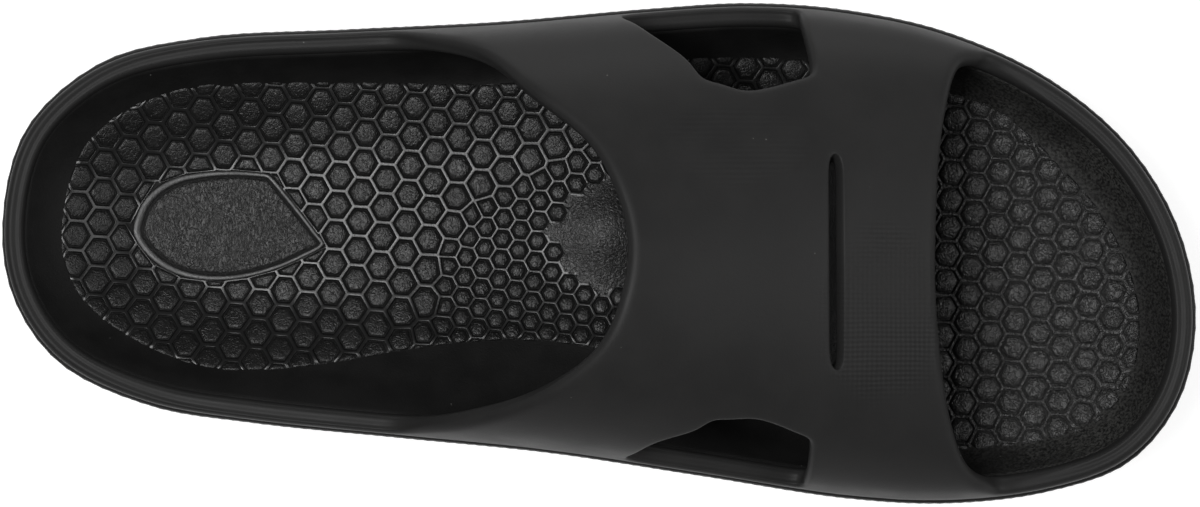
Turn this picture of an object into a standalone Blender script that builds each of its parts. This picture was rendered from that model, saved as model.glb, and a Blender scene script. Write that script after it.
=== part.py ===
import math

import bmesh
import bpy
import numpy as np
from mathutils import Vector

for item in list(bpy.data.objects):
    bpy.data.objects.remove(item, do_unlink=True)

# overall sizes of the left slide, in metres; heel at -X, big-toe side at -Y
LENGTH = 0.290
WIDTH = 0.122
LEDGE_HEIGHT = 0.034
RIM_HEIGHT = 0.051
BED_HEIGHT = 0.030
STRAP_RISE = 0.043

# shape of the underside
TOE_SPRING = 0.008
HEEL_LIFT = 0.004
WAIST_RELIEF = 0.0015
SPRING_START = 0.42
LIFT_START = 0.80
WAIST_FROM = -0.42
WAIST_TO = 0.06

# clearances between the pieces
FIT_GAP = 0.0003
BED_FIT = 0.0004

# outsole
OUTSOLE_PLATE = 0.0045
LUG_DEPTH = 0.0030
RAIL_WIDTH = 0.0060
OUTSOLE_INSET = 0.0012
LUG_ACROSS = 0.0165
LUG_SPACING = 0.0205
LUG_SINK = 0.0012
LUG_EDGE_MARGIN = 0.0085
LUG_TAPER = 0.90
RAIL_CHAMFER = 0.0009
SIDE_LOW = 0.30
SIDE_HIGH = 0.75

# midsole side wall and recess
FACET_DEPTH = 0.0005
SIDE_TUCK = 0.0016
LEDGE_INSET = 0.0005
CUP_INSET = 0.0090
FLOOR_INSET = 0.0160
RECESS_LEAST = 0.0020

# insole
INSOLE_PLATE = 0.0055
EDGE_STAND = 0.0026
EDGE_LIP = 0.0010
PATTERN_INSET = 0.0140
BOWL_INSET = 0.0200
EDGE_OVER_BED = 0.0005
CUP_RISE = 0.0180
CUP_REACH = 0.0320
CUP_POWER = 1.5
ARCH_RISE = 0.0150
ARCH_START = 0.08
ARCH_POWER = 1.6
DOME_RISE = 0.0036
DOME_LONG = 0.0190
DOME_WIDE = 0.0170
DOME_ALONG = 0.017
DOME_ACROSS = 0.082
PAD_LENGTH = 0.0460
PAD_WIDTH = 0.0272
PAD_RISE = 0.0008
PAD_SINK = 0.0020
PAD_ALONG = -0.62
PAD_ACROSS = 0.11

# upper
BASE_INSET = 0.0012
RIM_INSET = 0.0020
RIM_WALL = 0.0038
STRAP_WALL = 0.0052
WALL_BLEND = 0.12
STRAP_FULLNESS = 0.90
STRAP_SKEW = 0.10
EDGE_ROUND = 0.0013
RIM_INNER_DROP = 0.0006
BELLY_OUTER = 0.90
BELLY_INNER = 0.45
NORMAL_STEP = 0.001
NORMAL_SHARE = 0.002

# how finely the surfaces are cut
SIDE_STATIONS = 48
FLOOR_STRIPS = 4
BED_STRIPS = 8
HEEL_ARC_CUTS = 20
TOE_ARC_CUTS = 16
OUTLINE_SAMPLES = 60

# plan outline: share of half length, share of half width
OUTLINE = (
    (-1.000, 0.092),
    (-0.961, 0.489),
    (-0.835, 0.759),
    (-0.668, 0.859),
    (-0.417, 0.893),
    (-0.166, 0.923),
    (0.084, 0.975),
    (0.252, 0.998),
    (0.419, 0.970),
    (0.586, 0.882),
    (0.753, 0.700),
    (0.887, 0.433),
    (0.971, 0.100),
    (1.000, -0.265),
    (0.971, -0.592),
    (0.887, -0.834),
    (0.753, -0.951),
    (0.586, -0.998),
    (0.419, -0.979),
    (0.168, -0.887),
    (-0.083, -0.796),
    (-0.334, -0.736),
    (-0.585, -0.675),
    (-0.752, -0.608),
    (-0.902, -0.441),
    (-0.977, -0.200),
)

# share along; shares of ledge, rim (lateral, medial) and bed height, then of cup, arch and strap rise
ALONG, LEDGE, RIM_LATERAL, RIM_MEDIAL, BED, CUP, ARCH, STRAP = range(8)
PROFILE = (
    (-1.00, 0.98, 0.90, 0.90, 0.93, 1.00, 0.00, 1.00),
    (-0.70, 0.97, 0.90, 0.91, 0.87, 1.00, 0.10, 1.00),
    (-0.35, 0.97, 0.90, 0.97, 0.94, 0.45, 0.80, 1.00),
    (0.00, 0.93, 0.87, 0.99, 0.97, 0.35, 1.00, 1.00),
    (0.30, 0.84, 0.80, 0.86, 0.81, 0.30, 0.35, 0.86),
    (0.60, 0.77, 0.73, 0.74, 0.70, 0.28, 0.00, 0.62),
    (1.00, 0.92, 0.77, 0.77, 0.84, 0.38, 0.00, 0.45),
)

# lines that cross the strap, rear to front, at nine places from the lateral to the medial rim
STRAP_ALONG = (
    (-0.331, -0.195, -0.114, 0.003, 0.056, 0.023, -0.094, -0.207, -0.331),
    (0.026, 0.084, 0.166, 0.160, 0.160, 0.165, 0.179, 0.086, 0.032),
    (0.179, 0.207, 0.248, 0.235, 0.228, 0.235, 0.262, 0.207, 0.179),
    (0.334, 0.348, 0.361, 0.324, 0.310, 0.324, 0.354, 0.347, 0.337),
    (0.414, 0.403, 0.393, 0.379, 0.379, 0.379, 0.393, 0.403, 0.414),
    (0.483, 0.448, 0.421, 0.402, 0.402, 0.402, 0.421, 0.448, 0.483),
    (0.648, 0.618, 0.578, 0.559, 0.552, 0.561, 0.588, 0.628, 0.666),
)

# the same lines as shares over the strap, lateral rim 0 and medial rim 1
STRAP_ACROSS = (
    (0.0, 0.130, 0.250, 0.370, 0.510, 0.640, 0.780, 0.880, 1.0),
    (0.0, 0.133, 0.255, 0.370, 0.510, 0.650, 0.795, 0.900, 1.0),
    (0.0, 0.130, 0.278, 0.370, 0.510, 0.650, 0.772, 0.890, 1.0),
    (0.0, 0.120, 0.239, 0.365, 0.510, 0.660, 0.792, 0.900, 1.0),
    (0.0, 0.120, 0.250, 0.364, 0.510, 0.664, 0.785, 0.890, 1.0),
    (0.0, 0.120, 0.250, 0.364, 0.510, 0.664, 0.785, 0.890, 1.0),
    (0.0, 0.120, 0.250, 0.360, 0.510, 0.640, 0.777, 0.880, 1.0),
)

# cuts between neighbouring lines and places, and the lines and places that bound the holes
LINE_CUTS = (5, 2, 3, 2, 1, 4)
PLACE_CUTS = (3, 3, 3, 3, 3, 3, 3, 3)
WINDOW_LINES = (1, 3)
SLOT_LINES = (4, 5)
SLOT_PLACES = (3, 5)
LATERAL_PLACES = (0, 2)
MEDIAL_PLACES = (6, 8)

# drop-shaped heel pad: share of half pad length, share of half pad width
PAD_OUTLINE = (
    (-1.00, 0.00),
    (-0.92, 0.42),
    (-0.70, 0.80),
    (-0.30, 0.99),
    (0.10, 1.00),
    (0.42, 0.90),
    (0.62, 0.58),
    (0.84, 0.05),
    (1.00, -0.36),
    (0.62, -0.74),
    (0.10, -0.97),
    (-0.30, -0.99),
    (-0.70, -0.74),
    (-0.92, -0.38),
)

HALF = LENGTH / 2.0


def smoothValue(knots, values, place):
    """Monotone cubic through the knots."""
    count = len(knots)
    steps = [knots[k + 1] - knots[k] for k in range(count - 1)]
    rates = [(values[k + 1] - values[k]) / steps[k] for k in range(count - 1)]
    slopes = [rates[0]] + [0.0] * (count - 2) + [rates[-1]]
    for k in range(1, count - 1):
        if rates[k - 1] * rates[k] > 0.0:
            slopes[k] = 2.0 * rates[k - 1] * rates[k] / (rates[k - 1] + rates[k])
    place = min(max(place, knots[0]), knots[-1])
    k = 0
    while k < count - 2 and place > knots[k + 1]:
        k += 1
    t = (place - knots[k]) / steps[k]
    low = values[k] * (2 * t ** 3 - 3 * t ** 2 + 1) + values[k + 1] * (3 * t ** 2 - 2 * t ** 3)
    turn = slopes[k] * (t ** 3 - 2 * t ** 2 + t) + slopes[k + 1] * (t ** 3 - t ** 2)
    return low + turn * steps[k]


def profile(column, x):
    knots = [row[ALONG] for row in PROFILE]
    values = [row[column] for row in PROFILE]
    return smoothValue(knots, values, x / HALF)


def closedCurve(points, samples):
    """Smooth closed curve through plan points, spaced by their distances."""
    points = np.array(points)
    count = len(points)
    gaps = [np.linalg.norm(points[(k + 1) % count] - points[k]) ** 0.5 for k in range(count)]
    slopes = []
    for k in range(count):
        before = gaps[k - 1]
        after = gaps[k]
        left = (points[k] - points[k - 1]) / before
        right = (points[(k + 1) % count] - points[k]) / after
        slopes.append((left * after + right * before) / (before + after))
    result = []
    for k in range(count):
        other = (k + 1) % count
        for step in range(samples):
            t = step / samples
            spot = points[k] * (2 * t ** 3 - 3 * t ** 2 + 1) + points[other] * (3 * t ** 2 - 2 * t ** 3)
            turn = slopes[k] * (t ** 3 - 2 * t ** 2 + t) + slopes[other] * (t ** 3 - t ** 2)
            result.append(spot + turn * gaps[k])
    return np.array(result)


def buildOutline():
    dense = closedCurve([(a * HALF, b * WIDTH / 2.0) for a, b in OUTLINE], OUTLINE_SAMPLES)
    middle = (dense.max(axis=0) + dense.min(axis=0)) / 2.0
    spans = dense.max(axis=0) - dense.min(axis=0)
    dense = (dense - middle) * np.array([LENGTH, WIDTH]) / spans
    return np.roll(dense, -int(dense[:, 0].argmin()), axis=0)


outline = buildOutline()
toeIndex = int(outline[:, 0].argmax())
closed = np.vstack([outline, outline[:1]])
travel = np.concatenate([[0.0], np.cumsum(np.linalg.norm(np.diff(closed, axis=0), axis=1))])
girth = travel[-1]
toeTravel = travel[toeIndex]
tangent = np.roll(outline, -1, axis=0) - np.roll(outline, 1, axis=0)
tangent = tangent / np.linalg.norm(tangent, axis=1)[:, None]
inward = np.column_stack([tangent[:, 1], -tangent[:, 0]])
closedInward = np.vstack([inward, inward[:1]])


def rimSpot(distance, inset):
    """Plan point at a travelled distance round the outline, moved inward."""
    distance = distance % girth
    x, y = [np.interp(distance, travel, closed[:, axis]) for axis in (0, 1)]
    nx, ny = [np.interp(distance, travel, closedInward[:, axis]) for axis in (0, 1)]
    size = math.hypot(nx, ny)
    return x + nx / size * inset, y + ny / size * inset


def lateralTravel(x):
    return float(np.interp(x, outline[:toeIndex + 1, 0], travel[:toeIndex + 1]))


def medialTravel(x):
    return float(np.interp(-x, -closed[toeIndex:, 0], travel[toeIndex:]))


def edgeDistance(x, y):
    return float(np.sqrt(((outline - np.array([x, y])) ** 2).sum(axis=1)).min())


def acrossShare(x, y):
    """Share across the foot at x: +1 on the lateral edge, -1 on the medial edge."""
    top = np.interp(lateralTravel(x), travel, closed[:, 1])
    low = np.interp(medialTravel(x), travel, closed[:, 1])
    return (y - (top + low) / 2.0) / max((top - low) / 2.0, 0.001)


def groundHeight(x, y):
    share = x / HALF
    height = 0.0
    if share > SPRING_START:
        height = TOE_SPRING * ((share - SPRING_START) / (1.0 - SPRING_START)) ** 2
    if share < -LIFT_START:
        height = HEEL_LIFT * ((-share - LIFT_START) / (1.0 - LIFT_START)) ** 2
    if WAIST_FROM < share < WAIST_TO:
        height = WAIST_RELIEF * math.sin(math.pi * (share - WAIST_FROM) / (WAIST_TO - WAIST_FROM)) ** 2
    return height


def fieldHeight(x, y):
    return groundHeight(x, y) + LUG_DEPTH


def outsoleTop(x, y):
    return groundHeight(x, y) + LUG_DEPTH + OUTSOLE_PLATE


def midsoleBottom(x, y):
    return outsoleTop(x, y) + FIT_GAP


def ledgeHeight(x, y):
    return profile(LEDGE, x) * LEDGE_HEIGHT


def bedHeight(x, y):
    reach = max(0.0, 1.0 - edgeDistance(x, y) / CUP_REACH) ** CUP_POWER
    medial = max(0.0, (-acrossShare(x, y) - ARCH_START) / (1.0 - ARCH_START)) ** ARCH_POWER
    height = profile(BED, x) * BED_HEIGHT + profile(CUP, x) * CUP_RISE * reach
    return height + profile(ARCH, x) * ARCH_RISE * medial


def domedBed(x, y):
    dx = (x - DOME_ALONG * HALF) / DOME_LONG
    dy = (y - DOME_ACROSS * WIDTH / 2.0) / DOME_WIDE
    away = min(1.0, math.hypot(dx, dy))
    return bedHeight(x, y) + DOME_RISE * (0.5 + 0.5 * math.cos(math.pi * away))


def insoleBottom(x, y):
    return min(bedHeight(x, y) - INSOLE_PLATE, ledgeHeight(x, y) - RECESS_LEAST)


def recessFloor(x, y):
    return insoleBottom(x, y) - FIT_GAP


def insoleEdge(x, y):
    return max(ledgeHeight(x, y) + EDGE_STAND, bedHeight(x, y) + EDGE_OVER_BED)


def ringOf(inset, height, facet=0.0, phase=0):
    """Closed ring of points, lateral side first, at an inset and a height."""
    ring = []
    count = 2 * SIDE_STATIONS
    for k in range(count):
        if k <= SIDE_STATIONS:
            distance = toeTravel * k / SIDE_STATIONS
        else:
            distance = toeTravel + (girth - toeTravel) * (k - SIDE_STATIONS) / SIDE_STATIONS
        x, y = rimSpot(distance, inset + facet * ((k + phase) % 2))
        ring.append(Vector((x, y, height(x, y))))
    return ring


def addQuad(mesh, first, second, third, fourth):
    """Two triangles split along the higher diagonal, so that neighbouring pieces keep their gap."""
    if first.co.z + third.co.z >= second.co.z + fourth.co.z:
        mesh.faces.new((first, second, third))
        mesh.faces.new((first, third, fourth))
    else:
        mesh.faces.new((first, second, fourth))
        mesh.faces.new((second, third, fourth))


def addCap(mesh, ring, strips, height):
    """Ladder between the lateral and medial halves of a ring."""
    count = len(ring)
    rungs = []
    for k in range(1, SIDE_STATIONS):
        first = ring[k]
        last = ring[count - k]
        rung = [first]
        for step in range(1, strips):
            spot = first.co.lerp(last.co, step / strips)
            rung.append(mesh.verts.new((spot.x, spot.y, height(spot.x, spot.y))))
        rungs.append(rung + [last])
    for step in range(strips):
        mesh.faces.new((ring[0], rungs[0][step], rungs[0][step + 1]))
        mesh.faces.new((ring[SIDE_STATIONS], rungs[-1][step + 1], rungs[-1][step]))
    for before, after in zip(rungs[:-1], rungs[1:]):
        for step in range(strips):
            addQuad(mesh, before[step], after[step], after[step + 1], before[step + 1])


def finishObject(name, mesh, colour, roughness):
    bmesh.ops.recalc_face_normals(mesh, faces=mesh.faces)
    data = bpy.data.meshes.new(name)
    mesh.to_mesh(data)
    mesh.free()
    material = bpy.data.materials.new(name + "_foam")
    material.use_nodes = True
    shader = material.node_tree.nodes["Principled BSDF"]
    shader.inputs["Base Color"].default_value = (*colour, 1.0)
    shader.inputs["Roughness"].default_value = roughness
    shader.inputs["Metallic"].default_value = 0.0
    data.materials.append(material)
    item = bpy.data.objects.new(name, data)
    bpy.context.scene.collection.objects.link(item)
    return item


def ringSolid(name, rings, firstCap, lastCap, colour, roughness):
    mesh = bmesh.new()
    loops = [[mesh.verts.new(spot) for spot in ring] for ring in rings]
    for lower, upper in zip(loops[:-1], loops[1:]):
        for k in range(len(lower)):
            other = (k + 1) % len(lower)
            addQuad(mesh, lower[k], lower[other], upper[other], upper[k])
    addCap(mesh, loops[0], *firstCap)
    addCap(mesh, loops[-1], *lastCap)
    return finishObject(name, mesh, colour, roughness)


def mixHeights(low, high, share):
    return lambda x, y: low(x, y) * (1.0 - share) + high(x, y) * share


def joinForm(target, form):
    """Adds a hidden form to the target by an exact union."""
    form.hide_render = True
    form.display_type = "WIRE"
    modifier = target.modifiers.new("join_" + form.name, "BOOLEAN")
    modifier.operation = "UNION"
    modifier.solver = "EXACT"
    modifier.object = form


def prismForm(name, shapes):
    """Closed prisms from pairs of matching loops, below and above."""
    mesh = bmesh.new()
    for low, high in shapes:
        lowVerts = [mesh.verts.new(spot) for spot in low]
        highVerts = [mesh.verts.new(spot) for spot in high]
        for k in range(len(low)):
            other = (k + 1) % len(low)
            mesh.faces.new((lowVerts[k], lowVerts[other], highVerts[other], highVerts[k]))
        for verts in (lowVerts, highVerts):
            middle = sum((vert.co for vert in verts), Vector()) / len(verts)
            centre = mesh.verts.new(middle)
            for k in range(len(verts)):
                mesh.faces.new((verts[k], verts[(k + 1) % len(verts)], centre))
    return finishObject(name, mesh, (0.02, 0.02, 0.02), 0.6)


# outsole: plate, edge rail and hexagonal lugs
railInset = OUTSOLE_INSET + RAIL_WIDTH
outsole = ringSolid(
    "outsole",
    [
        ringOf(FLOOR_INSET, outsoleTop),
        ringOf(OUTSOLE_INSET, outsoleTop),
        ringOf(LEDGE_INSET, mixHeights(groundHeight, outsoleTop, SIDE_HIGH)),
        ringOf(LEDGE_INSET, mixHeights(groundHeight, outsoleTop, SIDE_LOW)),
        ringOf(OUTSOLE_INSET + SIDE_TUCK, groundHeight),
        ringOf(railInset, groundHeight),
        ringOf(railInset + RAIL_CHAMFER, fieldHeight),
        ringOf(FLOOR_INSET, fieldHeight),
    ],
    (FLOOR_STRIPS, outsoleTop),
    (FLOOR_STRIPS, fieldHeight),
    (0.018, 0.018, 0.019),
    0.62,
)

lugShapes = []
rowStep = LUG_SPACING * math.sqrt(3.0) / 2.0
rowCount = int(HALF / rowStep) + 1
columnCount = int(WIDTH / LUG_SPACING) + 1
for row in range(-rowCount, rowCount + 1):
    for column in range(-columnCount, columnCount + 1):
        centreX = row * rowStep
        centreY = (column + 0.5 * (row % 2)) * LUG_SPACING
        if abs(acrossShare(min(max(centreX, -HALF), HALF), centreY)) >= 1.0:
            continue
        if edgeDistance(centreX, centreY) < railInset + LUG_EDGE_MARGIN or abs(centreX) > HALF:
            continue
        low = []
        high = []
        for corner in range(6):
            angle = math.radians(60.0 * corner)
            radius = LUG_ACROSS / math.sqrt(3.0)
            x = centreX + radius * math.cos(angle)
            y = centreY + radius * math.sin(angle)
            high.append(Vector((x, y, fieldHeight(x, y) + LUG_SINK)))
            x = centreX + radius * LUG_TAPER * math.cos(angle)
            y = centreY + radius * LUG_TAPER * math.sin(angle)
            low.append(Vector((x, y, groundHeight(x, y))))
        lugShapes.append((low, high))
joinForm(outsole, prismForm("lug_form", lugShapes))

# midsole: faceted side wall, ledge and recess
# rows: inset, share of the way up, facet depth, phase of the facets
sideRows = (
    (SIDE_TUCK, 0.00, 0.0, 0),
    (FACET_DEPTH, 0.08, 0.0, 0),
    (0.0, 0.28, FACET_DEPTH, 0),
    (0.0, 0.52, FACET_DEPTH, 1),
    (0.0, 0.76, FACET_DEPTH, 0),
    (FACET_DEPTH, 0.95, 0.0, 0),
)
midsole = ringSolid(
    "midsole",
    [ringOf(FLOOR_INSET, midsoleBottom)]
    + [ringOf(inset, mixHeights(midsoleBottom, ledgeHeight, up), facet, phase)
       for inset, up, facet, phase in sideRows]
    + [
        ringOf(FACET_DEPTH + LEDGE_INSET, ledgeHeight),
        ringOf(CUP_INSET, ledgeHeight),
        ringOf(CUP_INSET, recessFloor),
        ringOf(FLOOR_INSET, recessFloor),
    ],
    (FLOOR_STRIPS, midsoleBottom),
    (FLOOR_STRIPS, recessFloor),
    (0.022, 0.022, 0.023),
    0.58,
)

# insole: contoured plate with a raised edge, arch, dome and heel pad
bedEdge = CUP_INSET + BED_FIT
insole = ringSolid(
    "insole",
    [
        ringOf(FLOOR_INSET, insoleBottom),
        ringOf(bedEdge, insoleBottom),
        ringOf(bedEdge, insoleEdge),
        ringOf(bedEdge + EDGE_LIP, insoleEdge),
        ringOf(PATTERN_INSET, domedBed),
        ringOf(BOWL_INSET, domedBed),
    ],
    (FLOOR_STRIPS, insoleBottom),
    (BED_STRIPS, domedBed),
    (0.026, 0.026, 0.027),
    0.66,
)

padCurve = closedCurve([(a * PAD_LENGTH / 2.0, b * PAD_WIDTH / 2.0) for a, b in PAD_OUTLINE], 2)
padLow = []
padHigh = []
for dx, dy in padCurve:
    x = PAD_ALONG * HALF + dx
    y = PAD_ACROSS * WIDTH / 2.0 + dy
    padLow.append(Vector((x, y, bedHeight(x, y) - PAD_SINK)))
    padHigh.append(Vector((x, y, bedHeight(x, y) + PAD_RISE)))
joinForm(insole, prismForm("pad_form", [(padLow, padHigh)]))


# upper: rim all round and strap over it, one hollow solid
def rimHeight(distance):
    x, y = rimSpot(distance, RIM_INSET)
    column = RIM_LATERAL if distance % girth <= toeTravel else RIM_MEDIAL
    return profile(column, x) * RIM_HEIGHT


def rimPoint(distance, inset, drop=0.0):
    x, y = rimSpot(distance, inset)
    return Vector((x, y, rimHeight(distance) - drop))


def strapOuter(x, across):
    lateral = rimPoint(lateralTravel(x), RIM_INSET)
    medial = rimPoint(medialTravel(x), RIM_INSET)
    turn = math.pi * min(max(across, 0.0), 1.0)
    spot = lateral.lerp(medial, 0.5 - 0.5 * math.cos(turn))
    lift = math.sin(turn) ** STRAP_FULLNESS * (1.0 - STRAP_SKEW * math.cos(turn))
    spot.z += profile(STRAP, x) * STRAP_RISE * lift
    return spot


def strapInner(x, across):
    low = max(across - NORMAL_SHARE, 0.0)
    high = min(across + NORMAL_SHARE, 1.0)
    over = strapOuter(x, high) - strapOuter(x, low)
    along = strapOuter(x + NORMAL_STEP, across) - strapOuter(x - NORMAL_STEP, across)
    normal = along.cross(over).normalized()
    edge = min(across, 1.0 - across) / WALL_BLEND
    wall = RIM_WALL + (STRAP_WALL - RIM_WALL) * min(1.0, edge)
    drop = RIM_INNER_DROP * max(0.0, 1.0 - edge)
    return strapOuter(x, across) + normal * wall - Vector((0.0, 0.0, drop))


lineKnots = list(range(len(STRAP_ALONG)))
placeKnots = list(range(len(STRAP_ALONG[0])))


def strapPlace(line, place):
    """Position along and share across for a place on a line, both fractional."""
    values = []
    for table in (STRAP_ALONG, STRAP_ACROSS):
        cross = [smoothValue(placeKnots, row, place) for row in table]
        values.append(smoothValue(lineKnots, cross, line))
    return values[0] * HALF, values[1]


def spread(cuts):
    result = []
    for k, count in enumerate(cuts):
        result += [k + step / count for step in range(count)]
    return result + [float(len(cuts))]


lines = spread(LINE_CUTS)
places = spread(PLACE_CUTS)

upperMesh = bmesh.new()
outerVerts = {}
innerVerts = {}
numbers = {}
lastPlace = len(places) - 1
stations = []
for k, line in enumerate(lines):
    stations.append((("lateral", k), lateralTravel(strapPlace(line, 0.0)[0])))
toeFrom = stations[-1][1]
toeTo = medialTravel(strapPlace(lines[-1], placeKnots[-1])[0])
for k in range(1, TOE_ARC_CUTS):
    stations.append((("toe", k), toeFrom + (toeTo - toeFrom) * k / TOE_ARC_CUTS))
for k in range(len(lines) - 1, -1, -1):
    stations.append((("medial", k), medialTravel(strapPlace(lines[k], placeKnots[-1])[0])))
heelFrom = stations[-1][1]
heelTo = stations[0][1] + girth
for k in range(1, HEEL_ARC_CUTS):
    stations.append((("heel", k), heelFrom + (heelTo - heelFrom) * k / HEEL_ARC_CUTS))


def addPair(key, outerSpot, innerSpot):
    numbers[key] = len(numbers)
    outerVerts[key] = upperMesh.verts.new(outerSpot)
    innerVerts[key] = upperMesh.verts.new(innerSpot)


for tag, distance in stations:
    baseX, baseY = rimSpot(distance, BASE_INSET)
    baseZ = ledgeHeight(baseX, baseY) + FIT_GAP
    rim = rimPoint(distance, RIM_INSET)
    lip = rimPoint(distance, RIM_INSET + RIM_WALL, RIM_INNER_DROP)
    innerX, innerY = rimSpot(distance, CUP_INSET)
    addPair((tag, 0), (baseX, baseY, baseZ), (innerX, innerY, baseZ))
    baseX, baseY = rimSpot(distance, BASE_INSET * BELLY_OUTER)
    innerX, innerY = rimSpot(distance, CUP_INSET * BELLY_INNER + (RIM_INSET + RIM_WALL) * (1.0 - BELLY_INNER))
    addPair((tag, 1), (baseX, baseY, (baseZ + rim.z) / 2.0), (innerX, innerY, (baseZ + lip.z) / 2.0))
    addPair((tag, 2), rim, lip)
for k, line in enumerate(lines):
    for m in range(1, lastPlace):
        x, across = strapPlace(line, places[m])
        addPair(("strap", k, m), strapOuter(x, across), strapInner(x, across))


def strapKey(k, m):
    if m == 0:
        return (("lateral", k), 2)
    if m == lastPlace:
        return (("medial", k), 2)
    return ("strap", k, m)


def isInside(value, bounds):
    return bounds[0] < value < bounds[1]


def isOpen(line, place):
    side = isInside(place, LATERAL_PLACES) or isInside(place, MEDIAL_PLACES)
    slot = isInside(line, SLOT_LINES) and isInside(place, SLOT_PLACES)
    return slot or (side and isInside(line, WINDOW_LINES))


cells = []
for k in range(len(stations)):
    here = stations[k][0]
    there = stations[(k + 1) % len(stations)][0]
    for level in (0, 1):
        cells.append(((here, level), (there, level), (there, level + 1), (here, level + 1)))
for k in range(len(lines) - 1):
    for m in range(lastPlace):
        if not isOpen((lines[k] + lines[k + 1]) / 2.0, (places[m] + places[m + 1]) / 2.0):
            cells.append((strapKey(k, m), strapKey(k + 1, m), strapKey(k + 1, m + 1), strapKey(k, m + 1)))

edgeUse = {}
for cell in cells:
    upperMesh.faces.new([outerVerts[key] for key in cell])
    upperMesh.faces.new([innerVerts[key] for key in reversed(cell)])
    for k in range(4):
        pair = (cell[k], cell[(k + 1) % 4])
        edgeUse.setdefault(frozenset((numbers[pair[0]], numbers[pair[1]])), []).append(pair)
weight = upperMesh.edges.layers.float.new("bevel_weight_edge")
baseKeys = set((tag, 0) for tag, distance in stations)
for pairs in edgeUse.values():
    if len(pairs) > 1:
        continue
    start, end = pairs[0]
    upperMesh.faces.new((outerVerts[end], outerVerts[start], innerVerts[start], innerVerts[end]))
    if start in baseKeys and end in baseKeys:
        continue
    upperMesh.edges.get((outerVerts[start], outerVerts[end]))[weight] = 1.0
    upperMesh.edges.get((innerVerts[start], innerVerts[end]))[weight] = 1.0
upper = finishObject("upper", upperMesh, (0.020, 0.020, 0.021), 0.55)
bevel = upper.modifiers.new("edge_round", "BEVEL")
bevel.limit_method = "WEIGHT"
bevel.width = EDGE_ROUND
bevel.segments = 2
bevel.use_clamp_overlap = True

# put the whole shoe over the middle of its box, standing on the floor
shown = [outsole, midsole, insole, upper]
lows = Vector((1.0, 1.0, 1.0))
highs = Vector((-1.0, -1.0, -1.0))
for item in shown:
    for vert in item.data.vertices:
        for axis in range(3):
            lows[axis] = min(lows[axis], vert.co[axis])
            highs[axis] = max(highs[axis], vert.co[axis])
for item in bpy.data.objects:
    for vert in item.data.vertices:
        vert.co -= Vector(((lows.x + highs.x) / 2.0, (lows.y + highs.y) / 2.0, lows.z))
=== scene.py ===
# Black moulded foam slide for the left foot, seen from straight above.
import math
import bmesh
import bpy
import numpy as np
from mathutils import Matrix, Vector


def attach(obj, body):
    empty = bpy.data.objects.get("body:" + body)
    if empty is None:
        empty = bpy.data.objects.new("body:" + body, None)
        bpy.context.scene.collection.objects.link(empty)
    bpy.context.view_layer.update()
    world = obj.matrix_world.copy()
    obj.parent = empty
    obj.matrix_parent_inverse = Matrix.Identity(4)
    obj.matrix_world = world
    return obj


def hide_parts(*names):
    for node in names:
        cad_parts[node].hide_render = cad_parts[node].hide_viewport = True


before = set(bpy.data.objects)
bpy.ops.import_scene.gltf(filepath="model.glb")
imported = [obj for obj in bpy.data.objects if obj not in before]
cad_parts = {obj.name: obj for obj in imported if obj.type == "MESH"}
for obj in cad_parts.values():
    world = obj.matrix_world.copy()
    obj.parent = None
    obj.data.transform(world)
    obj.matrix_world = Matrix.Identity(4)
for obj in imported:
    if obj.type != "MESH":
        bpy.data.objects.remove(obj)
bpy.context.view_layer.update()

mm = 0.001

# the shoe's own sizes, in metres: they repeat the solids' values
shoe = {
    "length": 0.290,
    "width": 0.122,
    "ledgeHeight": 0.034,
    "rimHeight": 0.051,
    "bedHeight": 0.030,
    "strapRise": 0.043,
    "toeSpring": 0.008,
    "heelLift": 0.004,
    "waistRelief": 0.0015,
    "springStart": 0.42,
    "liftStart": 0.80,
    "waistFrom": -0.42,
    "waistTo": 0.06,
    "lugDepth": 0.0030,
    "fitGap": 0.0003,
    "outlineSamples": 40,
}
half = shoe["length"] / 2

# plan outline: share of half length, share of half width
outlineRows = (
    (-1.000, 0.092), (-0.961, 0.489), (-0.835, 0.759), (-0.668, 0.859), (-0.417, 0.893),
    (-0.166, 0.923), (0.084, 0.975), (0.252, 0.998), (0.419, 0.970), (0.586, 0.882),
    (0.753, 0.700), (0.887, 0.433), (0.971, 0.100), (1.000, -0.265), (0.971, -0.592),
    (0.887, -0.834), (0.753, -0.951), (0.586, -0.998), (0.419, -0.979), (0.168, -0.887),
    (-0.083, -0.796), (-0.334, -0.736), (-0.585, -0.675), (-0.752, -0.608), (-0.902, -0.441),
    (-0.977, -0.200),
)

# share along, then shares of the ledge, rim and bed heights and of the cup, arch and strap rise
profileNames = ("along", "ledge", "rimLateral", "rimMedial", "bed", "cup", "arch", "strap")
profileRows = (
    (-1.00, 0.98, 0.90, 0.90, 0.93, 1.00, 0.00, 1.00),
    (-0.70, 0.97, 0.90, 0.91, 0.87, 1.00, 0.10, 1.00),
    (-0.35, 0.97, 0.90, 0.97, 0.94, 0.45, 0.80, 1.00),
    (0.00, 0.93, 0.87, 0.99, 0.97, 0.35, 1.00, 1.00),
    (0.30, 0.84, 0.80, 0.86, 0.81, 0.30, 0.35, 0.86),
    (0.60, 0.77, 0.73, 0.74, 0.70, 0.28, 0.00, 0.62),
    (1.00, 0.92, 0.77, 0.77, 0.84, 0.38, 0.00, 0.45),
)
profileColumns = {name: np.array([row[k] for row in profileRows]) for k, name in enumerate(profileNames)}


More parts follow.
